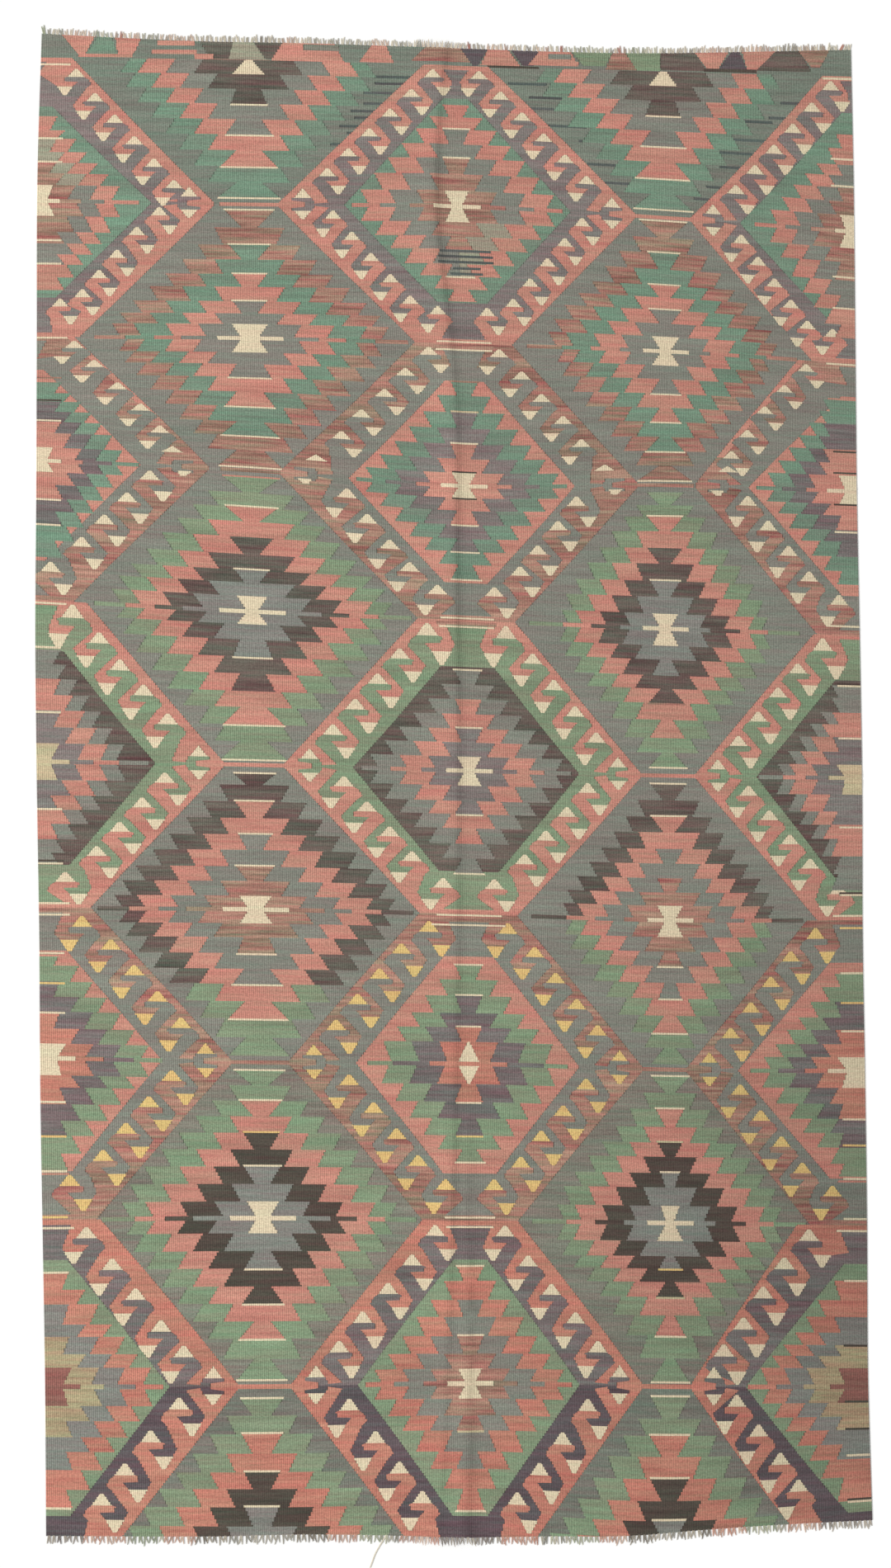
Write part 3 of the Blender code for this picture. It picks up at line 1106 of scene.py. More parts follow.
def triangulate():
    """Cuts the cloth along every colour change. Returns chart points, triangles and patches."""
    points, edges = [], []

    def add_line(line, closed=False):
        """Adds a line in short stretches, so that all of it follows the lie of the cloth."""
        start = len(points)
        ends = list(line)
        if closed:
            ends.append(line[0])
        for (from_x, from_y), (to_x, to_y) in zip(ends, ends[1:]):
            parts = max(1, math.ceil(math.hypot(to_x - from_x, to_y - from_y) / LONGEST_EDGE))
            for part in range(parts):
                share = part / parts
                points.append(Vector((from_x + (to_x - from_x) * share,
                                      from_y + (to_y - from_y) * share)))
        if not closed:
            points.append(Vector(ends[-1]))
        ids = list(range(start, len(points)))
        edges.extend(zip(ids, ids[1:]))
        if closed:
            edges.append((ids[-1], ids[0]))

    outline = chart_outline()
    add_line(outline, closed=True)
    for patch, _ in chart:
        add_line(patch, closed=True)
    inset = [(x * (1 - EDGE_ROUNDING / HALF_WIDTH), y) for x, y in outline]
    low, high = min(y for _, y in outline), max(y for _, y in outline)
    middle = (low + high) / 2
    inset = [(x, middle + (y - middle) * (1 - EDGE_ROUNDING / (high - middle))) for x, y in inset]
    add_line(inset, closed=True)
    for line in crease_guides():
        add_line(line)
    across = int(HALF_WIDTH / GUIDE_STEP)
    for i in range(-across + 1, across):
        for j in range(int(low / GUIDE_STEP) + 1, 1):
            points.append(Vector((i * GUIDE_STEP + GUIDE_STAGGER * (j % 2), j * GUIDE_STEP)))
    cut = geometry.delaunay_2d_cdt(points, edges, [], 0, CUT_TOLERANCE, False)
    found, triangles = cut[0], cut[2]
    top_patch = patch_finder()
    kept, patches = [], []
    for triangle in triangles:
        x = sum(found[corner][0] for corner in triangle) / 3
        y = sum(found[corner][1] for corner in triangle) / 3
        if winds_round(outline, x, y):
            kept.append(tuple(triangle))
            patches.append(top_patch(x, y))
    return [tuple(point) for point in found], kept, patches


def colour_edges(points, triangles, patches):
    """For each triangle, the patch across its tallest slanted colour change, and each corner's
    distance to that change along the weft."""
    neighbours = {}
    for number, triangle in enumerate(triangles):
        for a, b in zip(triangle, triangle[1:] + triangle[:1]):
            neighbours.setdefault((min(a, b), max(a, b)), []).append(number)
    beyond, reaches = [], []
    for number, triangle in enumerate(triangles):
        best = None
        for a, b in zip(triangle, triangle[1:] + triangle[:1]):
            pair = neighbours[(min(a, b), max(a, b))]
            other = pair[0] if pair[-1] == number else pair[-1]
            run = points[b][0] - points[a][0]
            rise = points[b][1] - points[a][1]
            if chart[patches[other]][1] == chart[patches[number]][1]:
                continue
            if abs(rise) < FLAT_SLOPE * abs(run):
                continue
            if best is None or abs(rise) > best[0]:
                best = (abs(rise), other, points[a], run / rise)
        if best is None:
            beyond.append(patches[number])
            reaches.append((NO_EDGE, NO_EDGE, NO_EDGE))
            continue
        _, other, start, lean = best
        beyond.append(patches[other])
        reaches.append(tuple(
            (points[corner][0] - start[0] - lean * (points[corner][1] - start[1])) * MM
            for corner in triangle
        ))
    return beyond, reaches


def linear(code):
    """An sRGB hex colour as linear red, green, blue and alpha."""
    values = [int(code[place:place + 2], 16) / 255 for place in (0, 2, 4)]
    return [v / 12.92 if v <= 0.04045 else ((v + 0.055) / 1.055) ** 2.4 for v in values] + [1.0]


def shift_to_frame():
    """How far the cloth moves so that its box is the frame's."""
    low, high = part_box("woven_field")
    shares = [step / HEM_READINGS for step in range(HEM_READINGS + 1)]
    left = min(reading(SELVEDGES, 1, share) for share in shares)
    right = max(reading(SELVEDGES, 2, share) for share in shares)
    bottom = min(reading(HEMS, BOTTOM_HEM, share) for share in shares)
    top = max(reading(HEMS, TOP_HEM, share) for share in shares)
    return ((low[0] + high[0] - left - right) / 2, (low[1] + high[1] - bottom - top) / 2)


SHIFT = shift_to_frame()


def cloth_place(x, y):
    """A chart point in the frame, at the cloth's underside."""
    flat_x, flat_y = laid(x, y)
    return flat_x + SHIFT[0], flat_y + SHIFT[1], crease_height(flat_x, flat_y)


def upward_normal(x, y):
    """The cloth's own slope at a place in the frame, however thin the patches there are."""
    x -= SHIFT[0]
    y -= SHIFT[1]
    right, left = crease_height(x + SLOPE_STEP, y), crease_height(x - SLOPE_STEP, y)
    above, below = crease_height(x, y + SLOPE_STEP), crease_height(x, y - SLOPE_STEP)
    lean_x = (right - left) / (2 * SLOPE_STEP)
    lean_y = (above - below) / (2 * SLOPE_STEP)
    return Vector((-lean_x, -lean_y, 1.0)).normalized()


def chart_rug():
    """Charts the whole rug, from its grounds up to the thinnest lines."""
    chart_grounds()
    chart_streaks(GROUND_STREAKS)
    chart_top_strip()
    chart_large_medallions()
    chart_diamonds()
    chart_streaks(DIAMOND_STREAKS)
    chart_thin_lines()


def rim_of(triangles):
    """The sides that only one triangle has, with the triangle's number and the side's place."""
    rim = {}
    for number, triangle in enumerate(triangles):
        for k in range(3):
            a, b = triangle[k], triangle[(k + 1) % 3]
            if (b, a) in rim:
                del rim[(b, a)]
            else:
                rim[(a, b)] = (number, k)
    return rim


def closed_sheet(points, triangles):
    """The sheet's points and faces. With each face go the number of its triangle, the triangle's
    corners that lie at the face's own corners, and the side of the sheet that the face is on."""
    used = sorted({corner for triangle in triangles for corner in triangle})
    number_of = {old: new for new, old in enumerate(used)}
    count = len(used)
    rim = rim_of(triangles)
    on_rim = {corner for side in rim for corner in side}
    low_places = [cloth_place(*points[old]) for old in used]
    verts = list(low_places)
    for old, (x, y, z) in zip(used, low_places):
        height = CLOTH_THICKNESS * (RIM_THICKNESS_SHARE if old in on_rim else 1.0)
        verts.append((x, y, z + height))

    faces = []
    for number, triangle in enumerate(triangles):
        corners = [number_of[corner] for corner in triangle]
        top = tuple(corner + count for corner in corners)
        faces.append((top, number, (0, 1, 2), "top"))
        faces.append((tuple(reversed(corners)), number, (2, 1, 0), "under"))
    for (a, b), (number, k) in rim.items():
        low_a, low_b = number_of[a], number_of[b]
        wall = (low_a, low_b, low_b + count, low_a + count)
        after = (k + 1) % 3
        faces.append((wall, number, (k, after, after, k), "wall"))
    return verts, faces


def mark_corners(mesh, verts, faces, points, triangles, patches):
    """Gives each corner of each face its own dye, the dye beyond the nearest colour change, the
    distance to that change, the yarn's lot, and its places on the two maps."""
    mesh.attributes.new("dye", "FLOAT_COLOR", "CORNER")
    mesh.attributes.new("dye_beyond", "FLOAT_COLOR", "CORNER")
    mesh.attributes.new("reach", "FLOAT", "CORNER")
    mesh.attributes.new("lot", "FLOAT", "CORNER")
    mesh.uv_layers.new(name="weave")
    mesh.uv_layers.new(name="OFBake")
    dye = mesh.attributes["dye"]
    dye_beyond = mesh.attributes["dye_beyond"]
    reach = mesh.attributes["reach"]
    lot = mesh.attributes["lot"]
    weave_map = mesh.uv_layers["weave"]
    bake_map = mesh.uv_layers["OFBake"]

    beyond, reaches = colour_edges(points, triangles, patches)
    shades = {name: linear(code)[:3] + [uneven] for name, (code, uneven) in DYES.items()}
    lots = random.Random(LOT_SEED)
    lot_of = [lots.random() for _ in chart]
    low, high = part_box("woven_field")
    size = max(2 * (high[0] - low[0]), high[1] - low[1]) * BAKE_SPREAD
    loop = 0
    for face, number, corners, side in faces:
        patch = patches[number]
        for vertex, corner in zip(face, corners):
            x, y = points[triangles[number][corner]]
            dye.data[loop].color = shades[chart[patch][1]]
            dye_beyond.data[loop].color = shades[chart[beyond[number]][1]]
            reach.data[loop].value = reaches[number][corner]
            lot.data[loop].value = lot_of[patch]
            weave_map.data[loop].uv = (x * MM + WEAVE_MAP_MIDDLE, y * MM + WEAVE_MAP_TOP)
            across = (verts[vertex][0] - low[0]) / size + BAKE_MARGIN
            up = (verts[vertex][1] - low[1]) / size + BAKE_MARGIN
            if side == "under":
                across = across + BAKE_UNDERSIDE
            bake_map.data[loop].uv = (across, up)
            loop += 1


def smooth_sheet(mesh, verts, faces):
    """Shades the top and the underside by the lie of the cloth, and leaves the rim flat."""
    for polygon in mesh.polygons:
        polygon.use_smooth = True
    mesh.update()
    normals = []
    for polygon, (face, _, _, side) in zip(mesh.polygons, faces):
        if side == "wall":
            normals += [tuple(polygon.normal)] * len(face)
        else:
            sign = 1.0 if side == "top" else -1.0
            normals += [tuple(sign * upward_normal(*verts[vertex][:2])) for vertex in face]
    mesh.normals_split_custom_set(normals)


def build_kilim():
    """The cloth: the charted patches as one closed sheet, with its dyes in its corners."""
    chart_rug()
    points, triangles, patches = triangulate()
    verts, faces = closed_sheet(points, triangles)
    mesh = bpy.data.meshes.new("kilim")
    mesh.from_pydata(verts, [], [face for face, _, _, _ in faces])
    mark_corners(mesh, verts, faces, points, triangles, patches)
    smooth_sheet(mesh, verts, faces)
    kilim = bpy.data.objects.new("kilim", mesh)
    bpy.context.scene.collection.objects.link(kilim)
    kilim.data.materials.append(slit_tapestry())
    return kilim


# ------------------------------------------------------------------------------------------------
# The fringes: cut warp ends, past each hem
# ------------------------------------------------------------------------------------------------

STRAND_SIDES = 6
STRAND_FLATNESS = 0.55
STRAND_LIFT = 0.0011
STRAND_BEND = 1.5
STRAND_STRETCHES = (
    # share of the length, width against the stretch before
    (0.35, 1.12),
    (0.35, 0.85),
    (0.30, 0.45),
)

# A tuft is two strands side by side, and the lower hem's part like a V. Length, parting, lean and
# width are in metres, the pitch is in millimetres on the chart, cut is how unevenly the strands
# were cut, and tint is how much dye has run into them from the weft.
TUFT_HALF = 0.0012
TUFT_KINDS = 6
TOP_TUFT = {
    "length": 0.0135, "cut": (0.8, 1.15), "parting": (0.0002, 0.0016), "lean": (-0.0010, 0.0014),
    "width": (0.0024, 0.0030), "pitch": 9.2, "tint": (0.1, 0.5), "seed": 11,
}
BOTTOM_TUFT = {
    "length": 0.0180, "cut": (0.84, 1.1), "parting": (0.0016, 0.0044), "lean": (-0.0010, 0.0010),
    "width": (0.0026, 0.0032), "pitch": 10.4, "tint": (0.4, 0.8), "seed": 12,
}
TUFT_TURN = 0.24
TUFT_SIZES = (0.85, 1.15)

# Millimetres on the chart: where a tuft's root lies under the hem, how far it is off its even
# place, and how far inside the hem its neighbouring weft lies.
ROOT_UNDER_HEM = 1.5
ROOT_WANDER = 0.8
LAST_WEFT = 6.0

# Warp wool as the eye sees it. About one tuft in four is greyer.
TUFT_COLOUR = "DDD3BE"
GREY_WARP = "B3AC9C"
GREEN_WARP = "A3A88C"
WARP_COLOURS = (TUFT_COLOUR, TUFT_COLOUR, TUFT_COLOUR, GREY_WARP)

# Red ends of yarn caught in the top fringe, on the chart, and how red their tufts are.
RED_ENDS = (-680.0, 30.0, 215.0, 330.0, 815.0)
RED_SHARE = 0.8

# The top fringe's own: a long green tuft at its left end, and three swept sideways at its right.
GREEN_TUFT_SIZE = 1.5
SWEPT_TUFTS = 3
SWEPT_TURN = 0.35

# The one long warp end, past the bottom hem: its root on the chart, its reach and its width.
STRAY_ROOT = -172.0
STRAY_REACH = (-0.033, 0.068)
STRAY_WIDTH = 0.0034
STRAY_STRETCHES = 10
STRAY_CURL = 0.3
STRAY_TAPER = 0.96


def deselect_all():
    for shown in bpy.context.scene.objects:
        shown.select_set(False)


def drawn_strand(width, stretches, offset=0.0):
    """A flattened strand, drawn out of a small ring by a step and a widening for each stretch."""
    deselect_all()
    bpy.ops.mesh.primitive_circle_add(vertices=STRAND_SIDES, radius=width / 2, fill_type="NGON",
                                      rotation=(math.pi / 2, 0, 0))
    strand = bpy.context.object
    bpy.ops.object.transform_apply(location=False, rotation=True, scale=False)
    bpy.ops.object.mode_set(mode="EDIT")
    bpy.ops.mesh.select_all(action="SELECT")
    for step, widening in stretches:
        bpy.ops.mesh.extrude_region_move(TRANSFORM_OT_translate={"value": step})
        bpy.ops.transform.resize(value=(widening, 1.0, widening))
    bpy.ops.mesh.select_all(action="SELECT")
    bpy.ops.transform.resize(value=(1.0, 1.0, STRAND_FLATNESS))
    bpy.ops.transform.translate(value=(offset, 0.0, 0.0))
    bpy.ops.mesh.normals_make_consistent(inside=False)
    bpy.ops.object.mode_set(mode="OBJECT")
    return strand


def cut_strand(length, width, lean, offset):
    """One cut strand, towards +Y, that narrows and leans towards its tip."""
    travelled = 0.0
    stretches = []
    for share, widening in STRAND_STRETCHES:
        travelled += share
        step = (lean * share * STRAND_BEND * travelled, length * share, 0.0)
        stretches.append((step, widening))
    return drawn_strand(width, stretches, offset)


def joined(pieces, name):
    """The pieces as one object, with its place, turn and size applied."""
    deselect_all()
    for piece in pieces:
        piece.select_set(True)
    bpy.context.view_layer.objects.active = pieces[0]
    if len(pieces) > 1:
        bpy.ops.object.join()
    bpy.ops.object.transform_apply(location=True, rotation=True, scale=True)
    made = bpy.context.object
    made.name = name
    made.data.name = name
    return made


def cut_tuft(kind, chance):
    """Two strands from neighbouring warps."""
    strands = []
    for side in (-1, 1):
        length = kind["length"] * chance.uniform(*kind["cut"])
        lean = side * chance.uniform(*kind["parting"]) + chance.uniform(*kind["lean"])
        width = chance.uniform(*kind["width"])
        strands.append(cut_strand(length, width, lean, side * TUFT_HALF))
    return joined(strands, "tuft")


def mixed(first, second, share):
    """A mix of two linear colours."""
    return [a + (b - a) * share for a, b in zip(first, second)]


def colour_yarn(strand, colour):
    """Keeps a strand's colour in its points, where its material finds it."""
    yarn = strand.data.attributes.new("yarn", "FLOAT_COLOR", "POINT")
    for point in yarn.data:
        point.color = colour


def coloured_copy(model, colour, place, turn, size):
    """A copy of a tuft with its own mesh, its colour and its place."""
    copy = model.copy()
    copy.data = model.data.copy()
    bpy.context.scene.collection.objects.link(copy)
    colour_yarn(copy, colour)
    copy.location = place
    copy.rotation_euler = (0.0, 0.0, turn)
    copy.scale = (1.0, size, 1.0)
    return copy


def dye_at_hem(top_patch, chart_x, level):
    """The dye that the hem's last weft has at one place, as a linear colour."""
    return linear(DYES[chart[top_patch(chart_x, level)][1]][0])


def stray_end():
    """The one warp end that was never cut short: thin, and curling away from the hem."""
    stretches = []
    for stretch in range(STRAY_STRETCHES):
        curl = STRAY_CURL * math.sin(stretch / STRAY_STRETCHES * 2 * math.pi)
        sideways = STRAY_REACH[0] / STRAY_STRETCHES * (1 + curl)
        step = (sideways, -STRAY_REACH[1] / STRAY_STRETCHES, 0.0)
        stretches.append((step, STRAY_TAPER))
    strand = drawn_strand(STRAY_WIDTH, stretches)
    colour_yarn(strand, linear(TUFT_COLOUR))
    x, y, z = cloth_place(STRAY_ROOT, hem_level(STRAY_ROOT, BOTTOM_HEM) + ROOT_UNDER_HEM)
    strand.location = (x, y, z + STRAND_LIFT)
    return strand


def build_fringe(name, hem, kind):
    """One fringe: tufts all along a hem, each in the colour of its own warps."""
    chance = random.Random(kind["seed"])
    models = [cut_tuft(kind, chance) for _ in range(TUFT_KINDS)]
    top_patch = patch_finder()
    outward = -1 if hem == BOTTOM_HEM else 1
    count = round(2 * HALF_WIDTH / kind["pitch"])
    tufts = []
    for number in range(count):
        even_place = -HALF_WIDTH + 2 * HALF_WIDTH * (number + 0.5) / count
        chart_x = even_place + chance.uniform(-ROOT_WANDER, ROOT_WANDER)
        level = hem_level(chart_x, hem)
        x, y, z = cloth_place(chart_x, level - outward * ROOT_UNDER_HEM)
        base = linear(chance.choice(WARP_COLOURS))
        dye = dye_at_hem(top_patch, chart_x, level - outward * LAST_WEFT)
        colour = mixed(base, dye, chance.uniform(*kind["tint"]))
        if hem == TOP_HEM and any(abs(chart_x - red) < kind["pitch"] / 2 for red in RED_ENDS):
            colour = mixed(base, linear(DYES["red"][0]), RED_SHARE)
        turn = chance.uniform(-TUFT_TURN, TUFT_TURN) + (math.pi if hem == BOTTOM_HEM else 0.0)
        size = chance.uniform(*TUFT_SIZES)
        if hem == TOP_HEM and number == 0:
            colour = linear(GREEN_WARP)
            size = GREEN_TUFT_SIZE
        if hem == TOP_HEM and number >= count - SWEPT_TUFTS:
            turn -= SWEPT_TURN
        place = (x, y, z + STRAND_LIFT)
        tufts.append(coloured_copy(chance.choice(models), colour, place, turn, size))
    if hem == BOTTOM_HEM:
        tufts.append(stray_end())
    for model in models:
        bpy.data.objects.remove(model, do_unlink=True)
    fringe = joined(tufts, name)
    bpy.ops.object.shade_smooth_by_angle(angle=math.radians(50))
    fringe.data.materials.clear()
    fringe.data.materials.append(undyed_warp())
    return fringe


# ------------------------------------------------------------------------------------------------
# Materials
# ------------------------------------------------------------------------------------------------

# How far the warps wander and how high the ribs stand, in metres, how round a rib is, and how
# high a fleck stands against a rib.
WARP_WANDER = 0.008
RIB_HEIGHT = 0.0004
RIB_ROUNDNESS = 0.7
FLECK_RELIEF = 0.35

# Metres from a step: up to here a slit is quite open and its painted shade is full, and from here
# on it is shut and has none.
SLIT_OPEN = 0.0006
SLIT_SHUT = 0.0014

# How often streaks, batches of yarn and flecks follow each other: across the rug, up it, and from
# one patch to the next. Streaks and flecks are counted for each metre, batches for each streak.
STREAKS_ACROSS = 11.0
STREAKS_UP = 170.0
BATCHES_PER_STREAK = (0.25, 0.16, 24.0)
FLECKS_PER_METRE = (200.0, 340.0, 1.0)

# The strongest change of an uneven dye: in lightness, and from tanner to redder.
LIGHTER = 0.18
REDDER = (0.06, -0.14, -0.08)

# The place on the weave map round which the colour is drawn darkest: low, and just past the right
# selvedge.
DARKEST_PLACE = (2.0, 1.5, 0.0)


def add_node(tree, kind, inputs=(), **settings):
    """Adds one node with its settings, and fills or links its inputs. Where an input is given a
    node, the link comes from that node's first output."""
    node = tree.nodes.new("ShaderNode" + kind)
    for name, value in settings.items():
        setattr(node, name, value)
    for place, value in dict(inputs).items():
        if isinstance(value, bpy.types.Node):
            value = value.outputs[0]
        if isinstance(value, bpy.types.NodeSocket):
            tree.links.new(value, node.inputs[place])
        else:
            node.inputs[place].default_value = value
    return node


def new_material(name):
    made = bpy.data.materials.new(name)
    made.use_nodes = True
    made.node_tree.nodes.clear()
    return made, made.node_tree


def warp_ribs(tree, weave_map, across):
    """How high the weft stands: warps are 3.8 mm apart under it, and wander a little."""
    wander = add_node(tree, "TexNoise", {"Vector": weave_map, "Scale": 9.0, "Detail": 1.0})
    sway = add_node(tree, "Math", {0: wander, 1: WARP_WANDER, 2: across}, operation="MULTIPLY_ADD")
    turn = add_node(tree, "Math", {0: sway, 1: math.pi / WARP_PITCH}, operation="MULTIPLY")
    wave = add_node(tree, "Math", {0: turn}, operation="SINE")
    rib = add_node(tree, "Math", {0: wave}, operation="ABSOLUTE")
    return add_node(tree, "Math", {0: rib, 1: RIB_ROUNDNESS}, operation="POWER")


def stepped_change(tree, across, reach, dye):
    """The stepped edge: a colour change is moved to the nearest gap between two warps. Gives the
    distance past the step, and the colour of the yarn there."""
    edge = add_node(tree, "Math", {0: across, 1: reach}, operation="SUBTRACT")
    lifted = add_node(tree, "Math", {0: edge, 1: WARP_PITCH / 2}, operation="ADD")
    stair = add_node(tree, "Math", {0: lifted, 1: WARP_PITCH}, operation="SNAP")
    past = add_node(tree, "Math", {0: across, 1: stair}, operation="SUBTRACT")
    own_side = add_node(tree, "Math", {0: reach}, operation="SIGN")
    kept = add_node(tree, "Math", {0: past, 1: own_side}, operation="MULTIPLY")
    crossed = add_node(tree, "Math", {0: kept, 1: 0.0}, operation="LESS_THAN")
    dye_beyond = add_node(tree, "Attribute", attribute_name="dye_beyond")
    yarn = add_node(tree, "Mix", {0: crossed, 6: dye, 7: dye_beyond}, data_type="RGBA")
    return past, yarn.outputs[2]


def painted_slit_shade(tree, weave_map, past, reach):
    """The painted shade in a slit. One is open at each step, and some are drawn shut. They are
    drawn about 2 mm wide, which is twice the real width, so that they show."""
    from_stair = add_node(tree, "Math", {0: past}, operation="ABSOLUTE")
    slit = add_node(tree, "MapRange",
                    {"Value": from_stair, "From Min": SLIT_OPEN, "From Max": SLIT_SHUT,
                     "To Min": 1.0, "To Max": 0.0})
    near = add_node(tree, "Math", {0: reach, 1: 0.0, 2: WARP_PITCH}, operation="COMPARE")
    open_here = add_node(tree, "TexNoise", {"Vector": weave_map, "Scale": 140.0, "Detail": 0.0})
    opened = add_node(tree, "MapRange",
                      {"Value": open_here, "From Min": 0.38, "From Max": 0.58,
                       "To Min": 0.10, "To Max": 0.58})
    # painted shade in the slits, only near a colour change
    slit_shade_near = add_node(tree, "Math", {0: slit, 1: near}, operation="MULTIPLY")
    return add_node(tree, "Math", {0: slit_shade_near, 1: opened}, operation="MULTIPLY")


def uneven_yarn(tree, across, up, yarn, unevenness):
    """The yarn as unevenly as it was dyed: streaks 6 mm high and 90 mm long are lighter and
    darker, and redder and tanner. So is abrash: every few centimetres comes another batch."""
    lot = add_node(tree, "Attribute", attribute_name="lot")
    long_across = add_node(tree, "Math", {0: across, 1: STREAKS_ACROSS}, operation="MULTIPLY")
    thin_up = add_node(tree, "Math", {0: up, 1: STREAKS_UP}, operation="MULTIPLY")
    streak_place = add_node(tree, "CombineXYZ", {0: long_across, 1: thin_up, 2: lot.outputs["Fac"]})
    streak = add_node(tree, "TexNoise", {"Vector": streak_place, "Scale": 1.0, "Detail": 2.0})
    swing = add_node(tree, "MapRange",
                     {"Vector": streak.outputs["Color"], 7: (0.3, 0.3, 0.3),
                      8: (0.7, 0.7, 0.7), 9: (-1.0, -1.0, -1.0), 10: (1.0, 1.0, 1.0)},
                     data_type="FLOAT_VECTOR")
    batch_place = add_node(tree, "VectorMath",
                           {0: streak_place, 1: BATCHES_PER_STREAK}, operation="MULTIPLY")
    batches = add_node(tree, "TexNoise", {"Vector": batch_place, "Scale": 1.0, "Detail": 1.0})
    batch = add_node(tree, "MapRange",
                     {"Vector": batches.outputs["Color"], 7: (0.3, 0.3, 0.3),
                      8: (0.7, 0.7, 0.7), 9: (-0.75, -0.5, 0.0), 10: (0.75, 0.5, 0.0)},
                     data_type="FLOAT_VECTOR")
    swings = add_node(tree, "VectorMath",
                      {0: swing.outputs["Vector"], 1: batch.outputs["Vector"]}, operation="ADD")
    uneven = add_node(tree, "VectorMath", {0: swings, "Scale": unevenness}, operation="SCALE")
    parts = add_node(tree, "SeparateXYZ", {0: uneven})
    lighter = add_node(tree, "Math", {0: parts, 1: LIGHTER, 2: 1.0}, operation="MULTIPLY_ADD")
    tint = add_node(tree, "VectorMath", {0: parts.outputs[1], 1: REDDER, 2: lighter},
                    operation="MULTIPLY_ADD")
    return add_node(tree, "VectorMath", {0: yarn, 1: tint}, operation="MULTIPLY")


def painted_falloff(tree, weave_map, across):
    """Painted light falling off from the left, and the colour darker towards the lower right."""
    # painted light: the left side lighter and the right side darker, as the light falls off
    painted_light_across = add_node(tree, "MapRange",
                    {"Value": across, "From Min": WEAVE_MAP_MIDDLE - HALF_WIDTH * MM,
                     "From Max": WEAVE_MAP_MIDDLE + HALF_WIDTH * MM,
                     "To Min": 1.13, "To Max": 0.93})
    # the colour is drawn darker towards the lower right
    distance = add_node(tree, "VectorMath", {0: weave_map, 1: DARKEST_PLACE}, operation="DISTANCE")
    low_right_darkening = add_node(tree, "MapRange",
                    {"Value": distance.outputs["Value"], "From Min": 0.1, "From Max": 1.0,
                     "To Min": 0.75, "To Max": 1.0})
    return add_node(tree, "Math", {0: painted_light_across, 1: low_right_darkening}, operation="MULTIPLY")


def slit_tapestry():
    """Hand-spun wool in slit tapestry: the weft is beaten down over the warps, so the eye sees
    fine ribs along the rug, with painted shade between them, stepped edges with small open slits
    drawn as painted shade where two colours meet on a slant, and each colour changing a little from
    one pass of yarn to the next."""
    made, tree = new_material("handspun_wool_slit_tapestry")
    dye = add_node(tree, "Attribute", attribute_name="dye")
    reach = add_node(tree, "Attribute", attribute_name="reach").outputs["Fac"]
    weave_map = add_node(tree, "UVMap", uv_map="weave")
    place = add_node(tree, "SeparateXYZ", {0: weave_map})
    across, up = place.outputs[0], place.outputs[1]
    crown = warp_ribs(tree, weave_map, across)
    past, yarn = stepped_change(tree, across, reach, dye)
    # painted shade in the open slits at the steps
    slit = painted_slit_shade(tree, weave_map, past, reach)
    streaked = uneven_yarn(tree, across, up, yarn, dye.outputs["Alpha"])
    # painted light falloff across the rug, and darker towards the lower right
    falloff_share = painted_falloff(tree, weave_map, across)

    # Heathered yarn in flecks 5 mm long and 3 mm high, larger than real so that they show, and
    # painted shade between the ribs, with their crowns painted a little lighter.
    fleck_place = add_node(tree, "VectorMath", {0: weave_map, 1: FLECKS_PER_METRE},
                           operation="MULTIPLY")
    flecks = add_node(tree, "TexNoise", {"Vector": fleck_place, "Scale": 1.0, "Detail": 2.0})
    heather = add_node(tree, "MapRange",
                       {"Value": flecks, "From Min": 0.3, "From Max": 0.7,
                        "To Min": 0.81, "To Max": 1.17})
    # painted shade: darker between the ribs, a little lighter on their crowns
    painted_rib_shade = add_node(tree, "MapRange",
                      {"Value": crown, "From Min": 0.15, "From Max": 0.95,
                       "To Min": 0.60, "To Max": 1.11})
    fine = add_node(tree, "Math", {0: heather, 1: painted_rib_shade}, operation="MULTIPLY")
    # the colour is darkened where the painted slit shade lies
    open_shade = add_node(tree, "Math", {0: 1.0, 1: slit}, operation="SUBTRACT")
    # the heathered yarn with the painted rib shade and painted slit shade
    woven = add_node(tree, "Math", {0: fine, 1: open_shade}, operation="MULTIPLY")
    shade = add_node(tree, "Math", {0: woven, 1: falloff_share}, operation="MULTIPLY")
    colour = add_node(tree, "VectorMath", {0: streaked, "Scale": shade}, operation="SCALE")

    # Relief: the ribs stand 0.4 mm proud, and each pass of yarn a little less.
    relief = add_node(tree, "Math", {0: flecks, 1: FLECK_RELIEF, 2: crown},
                      operation="MULTIPLY_ADD")
    bump = add_node(tree, "Bump", {"Height": relief, "Strength": 0.7, "Distance": RIB_HEIGHT})
    shader = add_node(tree, "BsdfPrincipled",
                      {"Base Color": colour, "Roughness": 0.93, "Specular IOR Level": 0.2,
                       "Sheen Weight": 0.05, "Sheen Roughness": 0.6, "Normal": bump})
    add_node(tree, "OutputMaterial", {"Surface": shader})
    return made


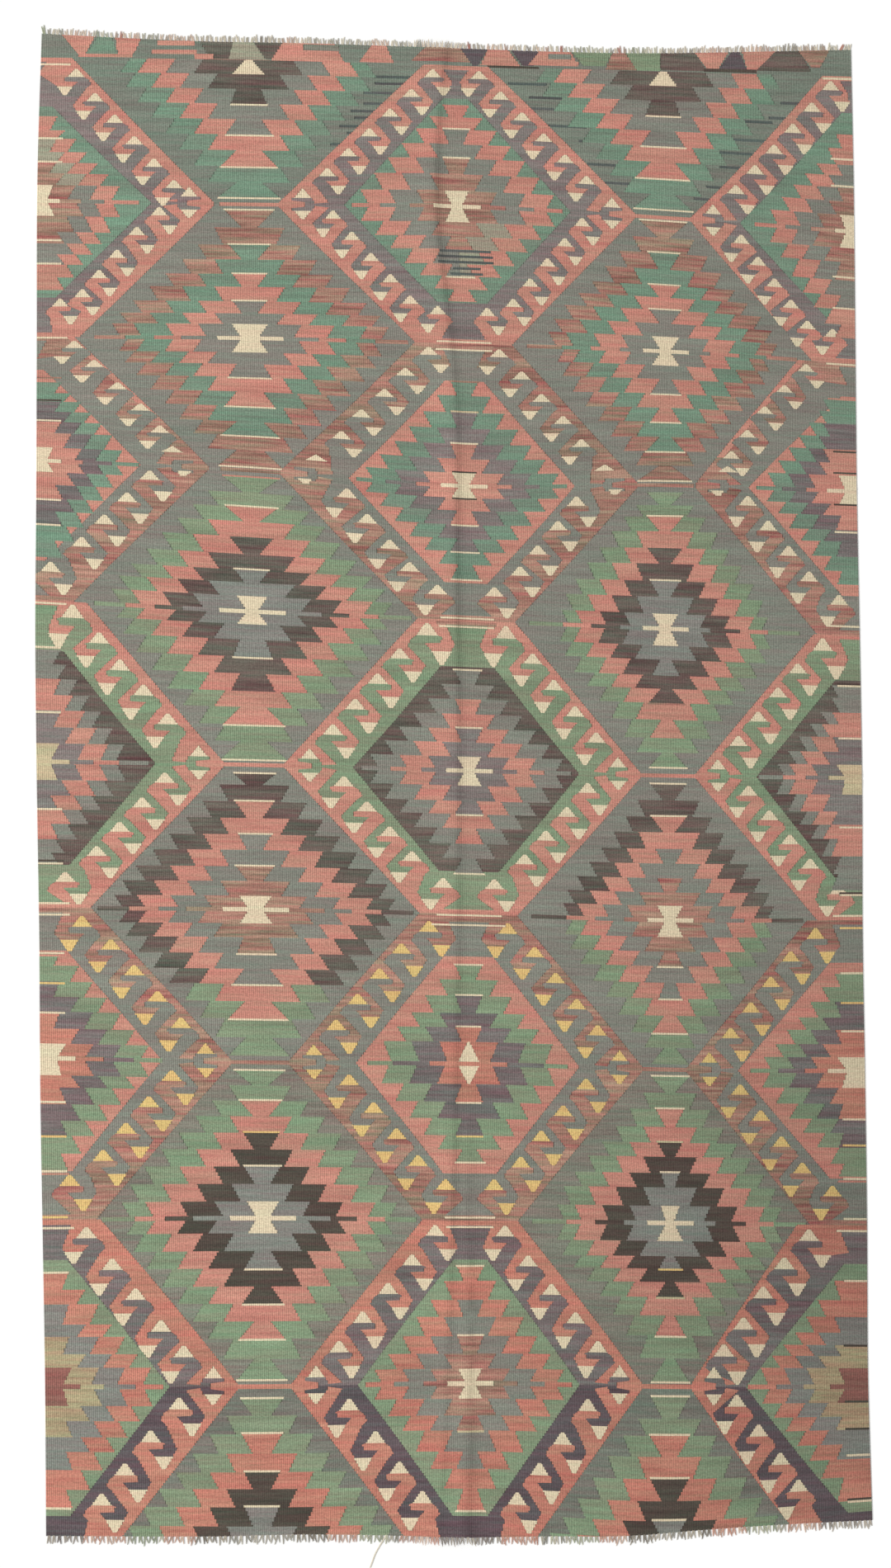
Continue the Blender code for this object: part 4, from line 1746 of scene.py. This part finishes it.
def undyed_warp():
    """Undyed hand-spun warp wool, cut at the hems: matt and a little hairy, lighter and darker
    along each strand, and tinted where dye has bled from the weft beside it."""
    made, tree = new_material("undyed_handspun_warp_wool")
    yarn = add_node(tree, "Attribute", attribute_name="yarn")
    place = add_node(tree, "TexCoord")
    stretch = add_node(tree, "Mapping",
                       {"Vector": place.outputs["Object"], "Scale": (900.0, 260.0, 900.0)})
    hairs = add_node(tree, "TexNoise", {"Vector": stretch, "Scale": 1.0, "Detail": 2.0})
    shade = add_node(tree, "MapRange",
                     {"Value": hairs, "From Min": 0.3, "From Max": 0.7,
                      "To Min": 0.78, "To Max": 1.1})
    colour = add_node(tree, "VectorMath", {0: yarn, "Scale": shade}, operation="SCALE")
    bump = add_node(tree, "Bump", {"Height": hairs, "Strength": 0.6, "Distance": 0.0003})
    shader = add_node(tree, "BsdfPrincipled",
                      {"Base Color": colour, "Roughness": 0.95, "Specular IOR Level": 0.2,
                       "Sheen Weight": 0.08, "Sheen Roughness": 0.6, "Normal": bump})
    add_node(tree, "OutputMaterial", {"Surface": shader})
    return made


def seamless_paper():
    """Matt white background paper: an even, pale floor."""
    made, tree = new_material("matt_white_seamless_paper")
    grain = add_node(tree, "TexNoise", {"Scale": 900.0, "Detail": 2.0})
    bump = add_node(tree, "Bump", {"Height": grain, "Strength": 0.05, "Distance": 0.0001})
    shader = add_node(tree, "BsdfPrincipled",
                      {"Base Color": linear("FBFBFA"), "Roughness": 0.95,
                       "Specular IOR Level": 0.1, "Normal": bump})
    add_node(tree, "OutputMaterial", {"Surface": shader})
    return made


# ------------------------------------------------------------------------------------------------
# The studio
# ------------------------------------------------------------------------------------------------

FLOOR_SIZE = 30.0
FLOOR_DROP = 0.0002
SKY_STRENGTH = 0.62
SUN_ENERGY = 2.4
SUN_SPREAD = math.radians(18)
SUN_TURN = (math.radians(8), math.radians(-54), 0.0)

# The camera looks straight down, at this point and on this height of floor.
PHOTO_HEIGHT = 3.2015
PHOTO_AIM = (-0.017, 0.029)
LENS = 85.0
SENSOR = 36.0


def studio():
    """A plain pale floor, an even sky, one soft sun from the side, and a camera straight above."""
    deselect_all()
    bpy.ops.mesh.primitive_plane_add(size=FLOOR_SIZE, location=(0, 0, -FLOOR_DROP))
    floor = bpy.context.object
    floor.name = "floor"
    floor.data.materials.append(seamless_paper())
    floor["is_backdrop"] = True

    world = bpy.data.worlds.new("studio")
    bpy.context.scene.world = world
    world.use_nodes = True
    background = world.node_tree.nodes["Background"]
    background.inputs["Color"].default_value = linear("FFFFFF")
    background.inputs["Strength"].default_value = SKY_STRENGTH

    lamp = bpy.data.lights.new("soft_key", "SUN")
    lamp.energy = SUN_ENERGY
    lamp.angle = SUN_SPREAD
    key = bpy.data.objects.new("soft_key", lamp)
    key.rotation_euler = SUN_TURN
    bpy.context.scene.collection.objects.link(key)

    bpy.context.scene.view_settings.view_transform = "Standard"

    lens = bpy.data.cameras.new("overhead")
    lens.lens = LENS
    lens.sensor_width = SENSOR
    camera = bpy.data.objects.new("overhead", lens)
    camera.location = (PHOTO_AIM[0], PHOTO_AIM[1], PHOTO_HEIGHT * LENS / SENSOR)
    bpy.context.scene.collection.objects.link(camera)
    bpy.context.scene.camera = camera


kilim = build_kilim()
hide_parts("woven_field")
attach(kilim, "root")
fringe_top_tufts = build_fringe("fringe_top_tufts", TOP_HEM, TOP_TUFT)
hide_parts("fringe_top")
fringe_bottom_tufts = build_fringe("fringe_bottom_tufts", BOTTOM_HEM, BOTTOM_TUFT)
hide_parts("fringe_bottom")
for tufts in (fringe_top_tufts, fringe_bottom_tufts):
    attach(tufts, "root")
studio()

boxes = {"cad": CAD_BOX, "visual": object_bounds()}
{name: [list(corner) for corner in box] for name, box in boxes.items()}
